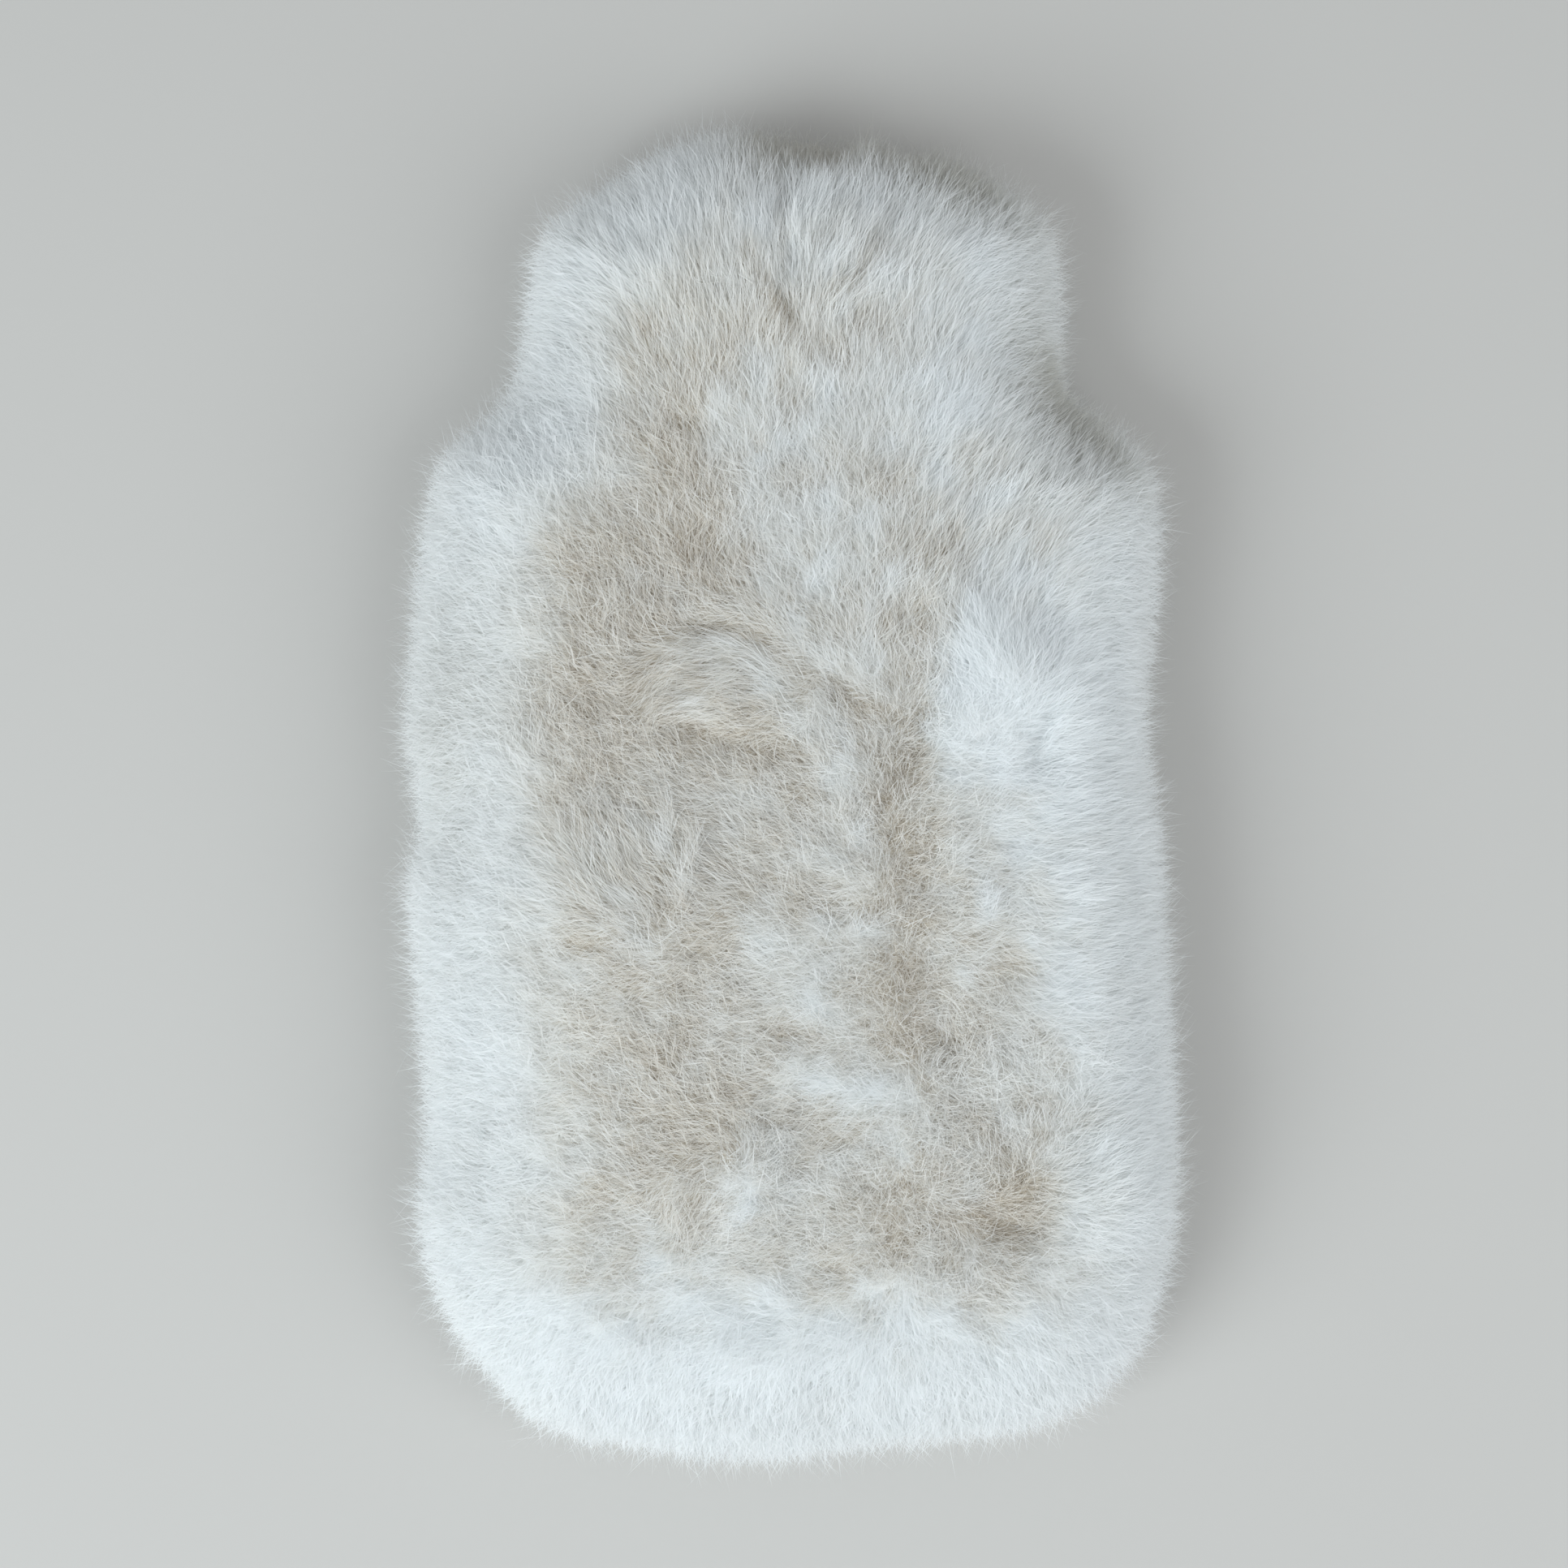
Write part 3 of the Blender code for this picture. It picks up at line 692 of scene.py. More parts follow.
    def from_edge(self, plan: np.ndarray) -> np.ndarray:
        """Return how far places lie inside the widest line, seen from above.

        Args:
            plan: (n, 2) places, seen from above.

        Returns:
            (n,) distances.
        """
        chunks = np.array_split(plan, max(1, len(plan) // CHUNK))
        near = [np.min(np.sum((part[:, None] - self.loop[None]) ** 2, axis=2), axis=1) for part in chunks]
        return np.sqrt(np.concatenate(near))

    def ring(self, inset: float, share: float, height: float, lumpy: float = 0.0) -> np.ndarray:
        """Return one ring of the form.

        Args:
            inset: how far in from the widest line, along its normals.
            share: how far from there to the middle line, from 0 to 1.
            height: its height above the floor.
            lumpy: how much of the front's lumps it takes, from 0 to 1.

        Returns:
            (points_round, 3) positions.
        """
        edge = self.loop - inset * self.out
        plan = edge + (self.spine - edge) * share
        return np.column_stack([plan, height + lumpy * self.lumps(plan)])

    def front_rings(self) -> np.ndarray:
        """Return the front wool's rings, from the widest line to the crown.

        The rim is a quarter of an ellipse, inset = R (1 - cos a) and height =
        widest + H sin a. Its last stretch is shared towards the middle line,
        so that it can't fold over in the corners. The crown eases up to the
        middle, and soft noise of two sizes tousles it all along its normals.

        Returns:
            (rings, points_round, 3) positions.
        """
        rise = self.rim_top - self.widest_height
        turn = math.radians(self.rim_turn_deg)
        rings = []
        for angle in np.linspace(0.0, turn, self.rim_rings):
            lumpy = float(ease(np.array(angle / turn)))
            inset = self.rim_round * (1 - math.cos(angle))
            rings.append(self.ring(inset, 0.0, self.widest_height + rise * math.sin(angle), lumpy))
        last = self.rim_round * (1 - math.cos(turn))
        for share in np.linspace(0.0, 1.0, self.crown_rings)[1:]:
            angle = turn + (math.pi / 2 - turn) * min(1.0, share / self.rim_share)
            crown = self.crown_rise * float(ease(np.array(share * self.crown_haste)))
            rings.append(self.ring(last, share, self.widest_height + rise * math.sin(angle) + crown, 1.0))
        rings = np.array(rings)
        flat = rings.reshape(-1, 3)
        bumps = layered_noise(flat, self.tousles, Salt.TOUSLES)
        grown = ease(np.linspace(0.0, self.tousle_haste, len(rings)))[:, None]
        grown = grown * np.interp(np.arange(len(rings)), *self.tousled_at)[:, None]
        bumps = self.relief * bumps.reshape(rings.shape[:2]) * grown
        return rings + bumps[..., None] * grid_normals(rings)

    def back_rings(self) -> np.ndarray:
        """Return the back wool's rings, from the middle of its flat to the widest line.

        Returns:
            (rings, points_round, 3) positions.
        """
        drop = self.widest_height - self.rest_height
        shares = np.linspace(1.0, 0.0, self.flat_rings)[:-1]
        rings = [self.ring(self.foot_inset, share, self.rest_height) for share in shares]
        for angle in np.linspace(-math.pi / 2, 0.0, self.edge_rings):
            inset = self.foot_inset * (1 - math.cos(angle))
            rings.append(self.ring(inset, 0.0, self.widest_height + drop * math.sin(angle)))
        return np.array(rings)

    def seam_rings(self, side: Side) -> np.ndarray:
        """Return a wool's edge at the seam, with a close second ring that keeps it crisp.

        Args:
            side: which wool.

        Returns:
            Two rings, the lower one first on the front and last on the back.
        """
        near, far = (self.seam_height + side.value * off for off in self.seam_offsets)
        edge = [self.ring(self.seam_rounding, 0.0, near), self.ring(0.0, 0.0, far)]
        return np.array(edge[::side.value])

    def pocket_rings(self, side: Side, lift: float) -> np.ndarray:
        """Return the rings of a hide, from the seam in to the middle.

        The front hide rises from the seam by a quarter of a circle to the
        pocket's roof, and the back hide lies flat at the pocket's floor.

        Args:
            side: which hide.
            lift: how far off the pocket's face, along its normals.

        Returns:
            (rings, points_round, 3) positions.
        """
        rise = self.pocket_height if side is Side.FRONT else 0.0
        rings = [self.ring(self.seam_inset, 0.0, self.seam_height)]
        for angle in np.linspace(0.0, math.pi / 2, self.pocket_turn_rings):
            inset = self.pocket_inset + self.pocket_height * (1 - math.cos(angle))
            rings.append(self.ring(inset, 0.0, self.seam_height + rise * math.sin(angle)))
        roof = self.pocket_inset + self.pocket_height
        shares = np.linspace(0.0, 1.0, self.pocket_roof_rings)[1:]
        rings += [self.ring(roof, share, self.seam_height + rise) for share in shares]
        rings = np.array(rings)
        return rings + lift * grid_normals(rings)


def grid_normals(rings: np.ndarray) -> np.ndarray:
    """Return the outward normals of rings: round direction x upward direction.

    The last ring closes on a line, so its normals point straight up or down.

    Args:
        rings: (rings, around, 3) surface.

    Returns:
        Unit normals, one for each point.
    """
    around = np.roll(rings, -1, axis=1) - np.roll(rings, 1, axis=1)
    normals = unit(np.cross(around, np.gradient(rings, axis=0)))
    normals[-1] = (0.0, 0.0, np.sign(np.median(normals[-2, :, 2])))
    return normals


# --------------------------------------------------------------------- meshes


def mesh_from(name: str, points: np.ndarray, corners: np.ndarray, sides: np.ndarray) -> bpy.types.Mesh:
    """Put arrays straight into a new mesh.

    Args:
        name: the mesh's name.
        points: (n, 3) vertex positions.
        corners: vertex numbers, face after face.
        sides: how many corners each face has.

    Returns:
        The mesh, smooth shaded.
    """
    mesh = bpy.data.meshes.new(name)
    mesh.vertices.add(len(points))
    mesh.vertices.foreach_set("co", points.astype(np.float32).ravel())
    mesh.loops.add(len(corners))
    mesh.loops.foreach_set("vertex_index", corners.astype(np.int32).ravel())
    mesh.polygons.add(len(sides))
    mesh.polygons.foreach_set("loop_start", (np.cumsum(sides) - sides).astype(np.int32))
    mesh.update(calc_edges=True)
    mesh.shade_smooth()
    return mesh


def as_piece(mesh: bpy.types.Mesh, material: bpy.types.Material) -> bpy.types.Object:
    """Link a mesh as a piece of the cover that rides on its body.

    Args:
        mesh: the piece's mesh, which has the piece's name.
        material: its finish.

    Returns:
        The piece.
    """
    piece = bpy.data.objects.new(mesh.name, mesh)
    mesh.materials.append(material)
    bpy.context.scene.collection.objects.link(piece)
    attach(piece, BODY)
    return piece


def ring_faces(rings: int, around: int) -> np.ndarray:
    """Return the quads between closed rings, facing outward.

    Args:
        rings: how many rings.
        around: how many points each has.

    Returns:
        (n, 4) vertex numbers.
    """
    here = np.arange(around)
    after = (here + 1) % around
    bands = np.arange(rings - 1)[:, None] * around
    quads = np.stack([bands + here, bands + after, bands + around + after, bands + around + here], axis=-1)
    return quads.reshape(-1, 4)


def ring_map(rings: int, around: int) -> np.ndarray:
    """Return the map place of each quad's corners: u goes round, v across.

    Args:
        rings: how many rings.
        around: how many points each has.

    Returns:
        (4 n, 2) map places, in the corners' order.
    """
    u, v = np.meshgrid(np.arange(around) / around, np.arange(rings - 1) / (rings - 1))
    du, dv = 1 / around, 1 / (rings - 1)
    corners = [(0, 0), (du, 0), (du, dv), (0, dv)]
    return np.stack([np.stack([u + a, v + b], axis=-1) for a, b in corners], axis=2).reshape(-1, 2)


def closed_mesh(name: str, rings: np.ndarray) -> bpy.types.Mesh:
    """Loft rings whose first and last close on a line, and merge those lines.

    Args:
        name: the mesh's name.
        rings: (rings, around, 3) positions.

    Returns:
        The closed mesh, with its map.
    """
    faces = ring_faces(len(rings), rings.shape[1])
    mesh = mesh_from(name, rings.reshape(-1, 3), faces.ravel(), np.full(len(faces), 4))
    layer = mesh.uv_layers.new(name=UV_MAP, do_init=False)
    layer.uv.foreach_set("vector", ring_map(len(rings), rings.shape[1]).astype(np.float32).ravel())
    shape = bmesh.new()
    shape.from_mesh(mesh)
    bmesh.ops.remove_doubles(shape, verts=shape.verts, dist=MERGE)
    bmesh.ops.holes_fill(shape, edges=[edge for edge in shape.edges if edge.is_boundary])
    bmesh.ops.recalc_face_normals(shape, faces=shape.faces)
    shape.to_mesh(mesh)
    shape.free()
    mesh.shade_smooth()
    return mesh


def vertex_places(mesh: bpy.types.Mesh) -> np.ndarray:
    """Return a mesh's vertex positions as (n, 3).

    Args:
        mesh: any mesh.

    Returns:
        (n, 3) positions.
    """
    flat = np.empty(len(mesh.vertices) * 3, dtype=np.float32)
    mesh.vertices.foreach_get("co", flat)
    return flat.reshape(-1, 3).astype(float)


def surface_area(mesh: bpy.types.Mesh) -> float:
    """Return the total area of a mesh's faces.

    Args:
        mesh: any mesh.

    Returns:
        The area (m2).
    """
    areas = np.empty(len(mesh.polygons), dtype=np.float32)
    mesh.polygons.foreach_get("area", areas)
    return float(areas.sum())


def cut_away(name: str, body: bpy.types.Mesh, tool: bpy.types.Mesh) -> bpy.types.Mesh:
    """Cut the tool's form out of a body and return the new mesh.

    Args:
        name: the new mesh's name.
        body: the mesh that is cut, and then removed.
        tool: the closed form that is cut out of it.

    Returns:
        The new mesh.
    """
    host, knife = (bpy.data.objects.new(mesh.name, mesh) for mesh in (body, tool))
    for made in (host, knife):
        bpy.context.scene.collection.objects.link(made)
    cut = host.modifiers.new("cut", "BOOLEAN")
    cut.operation = "DIFFERENCE"
    cut.solver = "EXACT"
    cut.object = knife
    seen = host.evaluated_get(bpy.context.evaluated_depsgraph_get())
    result = bpy.data.meshes.new_from_object(seen)
    for made in (host, knife):
        bpy.data.objects.remove(made)
    bpy.data.meshes.remove(body)
    result.name = name
    result.shade_smooth()
    return result


# ------------------------------------------------------------------- finishes


def new_material(name: str) -> tuple[bpy.types.Material, bpy.types.NodeTree, bpy.types.Node]:
    """Return a new material, its node tree and its main shader.

    Args:
        name: the material's name.

    Returns:
        The material, its node tree and its main shader.
    """
    made = bpy.data.materials.new(name)
    made.use_nodes = True
    return made, made.node_tree, made.node_tree.nodes["Principled BSDF"]


def colour_mix(tree: bpy.types.NodeTree, share: bpy.types.NodeSocket, first: bpy.types.NodeSocket,
               second: bpy.types.NodeSocket, kind: str = "MIX") -> bpy.types.NodeSocket:
    """Mix two colours by a share, and return the mixed colour's socket.

    Args:
        tree: the material's node tree.
        share: how much of the second colour.
        first: the first colour.
        second: the second colour.
        kind: how they mix.

    Returns:
        The mixed colour's socket.
    """
    mix = tree.nodes.new("ShaderNodeMix")
    mix.data_type = "RGBA"
    mix.blend_type = kind
    tree.links.new(share, mix.inputs["Factor"])
    tree.links.new(first, mix.inputs["A"])
    tree.links.new(second, mix.inputs["B"])
    return mix.outputs["Result"]


def colour_ramp(tree: bpy.types.NodeTree, along: bpy.types.NodeSocket,
                *stops: tuple[float, Sequence[float]]) -> bpy.types.NodeSocket:
    """Turn a number into a colour that eases between (position, colour) stops.

    Args:
        tree: the material's node tree.
        along: the number.
        *stops: at least two stops, in order.

    Returns:
        The colour's socket.
    """
    ramp = tree.nodes.new("ShaderNodeValToRGB")
    ramp.color_ramp.interpolation = "EASE"
    for _ in stops[2:]:
        ramp.color_ramp.elements.new(0.5)
    for element, (position, colour) in zip(ramp.color_ramp.elements, stops):
        element.position = position
        element.color = (*colour, 1.0)
    tree.links.new(along, ramp.inputs["Fac"])
    return ramp.outputs["Color"]


def noise_share(tree: bpy.types.NodeTree, scale: float, detail: float) -> bpy.types.NodeSocket:
    """Return a noise from 0 to 1 that is fixed to the piece's own place.

    Args:
        tree: the material's node tree.
        scale: how many features a metre.
        detail: how many finer layers it has.

    Returns:
        The socket of the noise.
    """
    place = tree.nodes.new("ShaderNodeTexCoord")
    noise = tree.nodes.new("ShaderNodeTexNoise")
    noise.inputs["Scale"].default_value = scale
    noise.inputs["Detail"].default_value = detail
    tree.links.new(place.outputs["Object"], noise.inputs["Vector"])
    return noise.outputs["Fac"]


def raise_relief(tree: bpy.types.NodeTree, shader: bpy.types.Node, height: bpy.types.NodeSocket,
                 strength: float, depth: float) -> None:
    """Raise a soft relief on a shader.

    Args:
        tree: the material's node tree.
        shader: its main shader.
        height: where the relief stands high.
        strength: how strong it is, from 0 to 1.
        depth: how deep it is (m).
    """
    relief = tree.nodes.new("ShaderNodeBump")
    relief.inputs["Strength"].default_value = strength
    relief.inputs["Distance"].default_value = depth
    tree.links.new(height, relief.inputs["Height"])
    tree.links.new(relief.outputs["Normal"], shader.inputs["Normal"])


@dataclass(frozen=True)
class PileFinish:
    """Sheepskin pile: beige-grey or white at the root, whiter at the tip. The darker root colours are partly
    the roots' own beige and partly painted shade deep in the pile, and strands painted into shade take more
    of them.
    """

    name: str
    root_warm: tuple[float, float, float] = (0.490, 0.422, 0.340)
    body_warm: tuple[float, float, float] = (0.840, 0.808, 0.749)
    tip_warm: tuple[float, float, float] = (0.948, 0.943, 0.907)
    root_cool: tuple[float, float, float] = (0.720, 0.730, 0.705)
    body_cool: tuple[float, float, float] = (0.918, 0.935, 0.941)
    tip_cool: tuple[float, float, float] = (0.955, 0.975, 0.985)
    body_at: float = 0.46
    roughness: float = 0.75
    sheen: float = 0.20
    specular: float = 0.20
    through: float = 0.40

    def material(self) -> bpy.types.Material:
        """Colour by the ribbon's own map: u is its warmth, v runs root to tip.

        Returns:
            The material.
        """
        made, tree, shader = new_material(self.name)
        shader.inputs["Roughness"].default_value = self.roughness
        shader.inputs["Sheen Weight"].default_value = self.sheen
        shader.inputs["Specular IOR Level"].default_value = self.specular
        place = tree.nodes.new("ShaderNodeUVMap")
        place.uv_map = UV_MAP
        split = tree.nodes.new("ShaderNodeSeparateXYZ")
        tree.links.new(place.outputs["UV"], split.inputs["Vector"])
        along = split.outputs["Y"]
        cool = colour_ramp(tree, along, (0.0, self.root_cool), (self.body_at, self.body_cool),
                           (1.0, self.tip_cool))
        warm = colour_ramp(tree, along, (0.0, self.root_warm), (self.body_at, self.body_warm),
                           (1.0, self.tip_warm))
        colour = colour_mix(tree, split.outputs["X"], cool, warm)
        tree.links.new(colour, shader.inputs["Base Color"])
        glow = tree.nodes.new("ShaderNodeBsdfTranslucent")
        tree.links.new(colour, glow.inputs["Color"])
        blend = tree.nodes.new("ShaderNodeMixShader")
        blend.inputs["Fac"].default_value = self.through
        tree.links.new(shader.outputs["BSDF"], blend.inputs[1])
        tree.links.new(glow.outputs["BSDF"], blend.inputs[2])
        tree.links.new(blend.outputs["Shader"], tree.nodes["Material Output"].inputs["Surface"])
        return made


@dataclass(frozen=True)
class WoolFinish:
    """The dense short wool under the pile, mottled and softly ridged."""

    name: str
    warm: tuple[float, float, float] = (0.590, 0.535, 0.440)
    cool: tuple[float, float, float] = (0.900, 0.915, 0.915)
    shade: tuple[float, float, float] = (0.90, 0.885, 0.86)
    plain: tuple[float, float, float] = (1.0, 1.0, 1.0)
    mottled_from: float = 0.35
    mottled_to: float = 0.62
    grain: float = 1100.0
    detail: float = 3.0
    bump: float = 0.45
    depth: float = 0.0008
    roughness: float = 0.9
    sheen: float = 0.2

    def material(self) -> bpy.types.Material:
        """Mix white and beige by the tone attribute, mottled by fine noise.

        Returns:
            The material.
        """
        made, tree, shader = new_material(self.name)
        shader.inputs["Roughness"].default_value = self.roughness
        shader.inputs["Sheen Weight"].default_value = self.sheen
        tone = tree.nodes.new("ShaderNodeAttribute")
        tone.attribute_name = TONE
        base = colour_ramp(tree, tone.outputs["Fac"], (0.0, self.cool), (1.0, self.warm))
        fine = noise_share(tree, self.grain, self.detail)
        mottle = colour_ramp(tree, fine, (self.mottled_from, self.shade), (self.mottled_to, self.plain))
        tree.links.new(colour_mix(tree, fine, base, mottle, "MULTIPLY"), shader.inputs["Base Color"])
        raise_relief(tree, shader, fine, self.bump, self.depth)
        return made


@dataclass(frozen=True)
class HideFinish:
    """The tanned hide's suede face, seen only inside the pocket."""

    name: str
    light: tuple[float, float, float] = (0.80, 0.73, 0.62)
    dark: tuple[float, float, float] = (0.68, 0.60, 0.49)
    dark_until: float = 0.35
    light_from: float = 0.65
    cloud: float = 45.0
    nap: float = 1600.0
    detail: float = 4.0
    bump: float = 0.35
    depth: float = 0.0004
    roughness: float = 0.95
    sheen: float = 0.3

    def material(self) -> bpy.types.Material:
        """Cloud two tans together and raise a fine nap.

        Returns:
            The material.
        """
        made, tree, shader = new_material(self.name)
        shader.inputs["Roughness"].default_value = self.roughness
        shader.inputs["Sheen Weight"].default_value = self.sheen
        clouds = noise_share(tree, self.cloud, self.detail)
        colour = colour_ramp(tree, clouds, (self.dark_until, self.dark), (self.light_from, self.light))
        tree.links.new(colour, shader.inputs["Base Color"])
        raise_relief(tree, shader, noise_share(tree, self.nap, self.detail), self.bump, self.depth)
        return made


# ----------------------------------------------------------------------- pile


@dataclass(frozen=True)
class PileStyle:
    """How one layer of pile grows (m, degrees, shares of a strand's length)."""

    strands: int
    length: float
    width: float
    lean_deg: float
    rim_lean_deg: float
    stray_deg: float = 22.0
    tuft: float = 0.0019
    lock: float = 0.0070
    gather: float = 0.30
    curl: float = 0.30
    wave: float = 0.10
    spread: float = 0.13
    droop: float = 0.10
    soft_shade: float = 0.52
    lightness: float = 0.0
    warmth: float | None = None
    stops: tuple[float, ...] = (0.0, 0.36, 0.70, 1.0)
    floor: float = 0.0003
    most_lift: float = 0.20


BENT = (0.0, 0.5, 1.0)
STRAIGHT = (0.0, 1.0)


@dataclass(frozen=True)
class Habit:
    """How strands differ from one another, in shares of their style's own values.

    The turn, lift, length and curl values are what one standard deviation of a
    lock's, a tuft's or a strand's own draw adds.
    """

    lock_turn: float = 0.55
    tuft_turn: float = 0.50
    brushed_calm: float = 0.50
    standing_lean: float = 0.75
    lock_lift: float = 0.08
    tuft_lift: float = 0.06
    strand_lift: float = 0.14
    standing_lift: float = 0.08
    most_sink: float = 0.40
    lock_length: float = 0.40
    tuft_length: float = 0.50
    shortest: float = 0.50
    longest: float = 1.25
    brushed_length: float = 0.30
    crease_length: float = 0.42
    standing_length: float = 0.12
    brushed_curl: float = 0.60
    tuft_curl: float = 0.60
    tuft_pull: float = 0.75
    lock_pull: float = 0.25
    gather_spread: float = 0.70
    most_gather: float = 2.2
    rim_gather: float = 0.45
    root_floor: float = 0.0002
    tuft_light: float = 0.05
    strand_light: float = 0.55
    white_even: float = 0.42
    beige_even: float = 0.96
    cooler: tuple[float, float] = (0.05, 0.22)
    # Painted highlight on standing locks and painted shade in creases, as a share of their mood.
    lock_painted_light: float = 0.30
    cloud_light: float = 0.55
    thinnest: float = 0.65
    thickness_spread: float = 0.70
    roll: float = 0.65
    toned_at: float = 0.60


HABIT = Habit()
TAPER = ((0.0, 0.4, 0.7, 1.0), (0.8, 1.0, 0.75, 0.0))


def rise_along(t: np.ndarray) -> np.ndarray:
    """Return a strand's rise along the surface normal: it slows as it leans over."""
    return 1.35 * t - 0.35 * t**2


def lean_along(t: np.ndarray) -> np.ndarray:
    """Return how far a strand has gone over towards the combing."""
    return t**1.4


def wave_along(t: np.ndarray) -> np.ndarray:
    """Return a strand's sideways wave, a little less than one turn long."""
    return np.sin(5.0 * t)


@dataclass(frozen=True)
class StrandMap:
    """Where warmth and lightness lie in a ribbon's map, clear of the map's edges."""

    warmth_from: float = 0.03
    warmth_span: float = 0.94
    half_width: float = 0.02
    margin: float = 0.01
    light_span: float = 0.98
    along_share: float = 0.58
    light_share: float = 0.42

    def places(self, warmth: np.ndarray, lightness: np.ndarray, stops: np.ndarray) -> np.ndarray:
        """Return each ribbon vertex's map place: u is its warmth, v rises to the tip.

        Args:
            warmth: each strand's warmth, from 0 to 1.
            lightness: each strand's lightness.
            stops: where along a strand its points stand, from 0 to 1.

        Returns:
            (n, points, 2) map places.
        """
        along = np.append(np.repeat(stops[:-1], 2), 1.0)
        edge = np.append(np.tile([-self.half_width, self.half_width], len(stops) - 1), 0.0)
        u = (self.warmth_from + self.warmth_span * warmth)[:, None] + edge[None, :]
        lit = self.along_share * along[None, :] + self.light_share * lightness[:, None]
        v = np.clip(self.margin + self.light_span * lit, self.margin, 1 - self.margin)
        return np.stack([u, v], axis=2)


@dataclass(frozen=True)
class Combing:
    """Which way the pile lies over the front, seen from above."""

    parting_x: float = 0.028
    parting_head: float = 0.015
    parting_foot: float = -0.135
    soft_parting: float = 0.012
    narrowest_lock: float = 0.0025
    mark_weight: float = 0.90
    sway: tuple[tuple[float, float], ...] = ((0.022, 0.42), (0.007, 0.46))
    brushed_calm: float = 0.7

    def direction(self, place: np.ndarray) -> np.ndarray:
        """Return how the pile is combed: outward from the parting, bent by the marks.

        Away from the parting by d it is d / sqrt(|d|^2 + soft^2). Each mark and
        each standing lock turns it towards its own way near its place, and
        soft noise sways what is left.

        Args:
            place: (n, 3) places on the front.

        Returns:
            (n, 2) vectors along which the tips point, up to 1 long where the
            pile is combed down and shorter where it stands.
        """
        plan = place[:, :2]
        nearest = np.column_stack([
            np.full(len(plan), self.parting_x),
            np.clip(plan[:, 1], self.parting_foot, self.parting_head),
        ])
        away = plan - nearest
        far = np.linalg.norm(away, axis=1, keepdims=True)
        flow = away / np.sqrt(far**2 + self.soft_parting**2)
        marks = [(mark.points_deg, np.exp(-np.sum((plan - (mark.x, mark.y)) ** 2, axis=1) / mark.reach**2))
                 for mark in COMB_MARKS]
        marks += [(lock.turn_deg, lock.share(plan, narrowest=self.narrowest_lock))
                  for lock in LOCKS if lock.rise > 0]
        for points_deg, share in marks:
            turn = math.radians(points_deg)
            weight = self.mark_weight * share[:, None]
            flow = flow * (1 - weight) + weight * np.array([math.cos(turn), math.sin(turn)])
        sway = layered_noise(place, self.sway, Salt.SWAY) * (1 - self.brushed_calm * self.brushed(plan))
        x, y = flow.T
        return np.column_stack([x * np.cos(sway) - y * np.sin(sway), x * np.sin(sway) + y * np.cos(sway)])

    @staticmethod
    def brushed(plan: np.ndarray) -> np.ndarray:
        """Return how straight the pile is brushed, from 0 for curly to 1."""
        curly = [1 - place.share(plan, power=4) for place in BRUSHED_PLACES]
        return 1 - np.prod(curly, axis=0)


@dataclass(frozen=True)
class Tones:
    """How creamy the pile is: white at the rim, beige in the middle."""

    white_left: tuple[float, float] = (0.013, 0.050)
    white_right: tuple[float, float] = (0.004, 0.050)
    right_over: float = 0.06
    head_from: float = 0.09
    head_over: float = 0.03
    rim_share: float = 0.06
    middle: float = 0.54
    clouds: tuple[tuple[float, float], ...] = ((0.022, 0.14), (0.010, 0.23), (0.0045, 0.28), (0.0022, 0.16))
    # How much creamier creases are made and how much whiter standing locks are: partly the roots' and tips'
    # own colour, partly painted shade and painted highlight.
    mood: float = 0.32
    under_until: float = 0.006
    upper_over: float = 0.022

    def at(self, form: CoverForm, place: np.ndarray) -> np.ndarray:
        """Return the warmth at places, from 0 for white to 1 for beige.

        It eases up from the white rim to the middle's tone, over a short way
        on the left and a long one on the right and the head, with the patches,
        the creases and the clouds on top. Creases are creamier and standing
        locks whiter, partly the roots' and tips' own colour and partly painted
        shade and painted highlight. The rim has its own few patches of painted
        shade, which are also creamier.

        Args:
            form: the cover's form, for how far inside its edge places lie.
            place: (n, 3) places.

        Returns:
            (n,) warmth.
        """
        plan = place[:, :2]
        away = form.from_edge(plan)
        left, right = (ease((away - low) / (high - low)) for low, high in (self.white_left, self.white_right))
        headward = np.maximum(plan[:, 1] - self.head_from, 0.0) / self.head_over
        rightward = ease(0.5 + plan[:, 0] / self.right_over + headward)
        inside = left * (1 - rightward) + right * rightward
        total = np.full(len(plan), self.middle)
        total += sum(patch.warmth * patch.share(plan) for patch in WARM_PATCHES)
        total += self.cloud(place) - self.mood * lock_mood(plan)
        # The rim's patches of painted shade are creamier too, and fade down its side.
        edge = sum(patch.warmth * patch.share(plan) for patch in RIM_SHADE_PATCHES) * self.upper(place)
        share = self.rim_share + (1 - self.rim_share) * inside
        return np.clip(total * share + edge * (1 - inside), 0.0, 1.0)

    def upper(self, place: np.ndarray) -> np.ndarray:
        """Return 1 at the rim's top and 0 where it turns under, fading the rim's painted shade and its
        warmth.
        """
        return ease((place[:, 2] - self.under_until) / self.upper_over)

    @staticmethod
    def light(plan: np.ndarray) -> np.ndarray:
        """Return how much lighter places inside the rim are than their warmth makes them. At the left
        shoulder this is painted light, and at the dark swirl it is painted shade.
        """
        return sum(patch.light * patch.share(plan) for patch in WARM_PATCHES)

    def rim_painted_light(self, place: np.ndarray) -> np.ndarray:
        """Return the rim's painted light and shade: how much lighter (> 0) and darker (< 0) its places are
        coloured.
        """
        return sum(patch.light * patch.share(place[:, :2]) for patch in RIM_SHADE_PATCHES) * self.upper(place)

    def cloud(self, place: np.ndarray) -> np.ndarray:
        """Return the clouds of warmth, soft noises of falling sizes."""
        return layered_noise(place, self.clouds, Salt.CLOUDS)


STRETCHES = (0.9, 1.12)


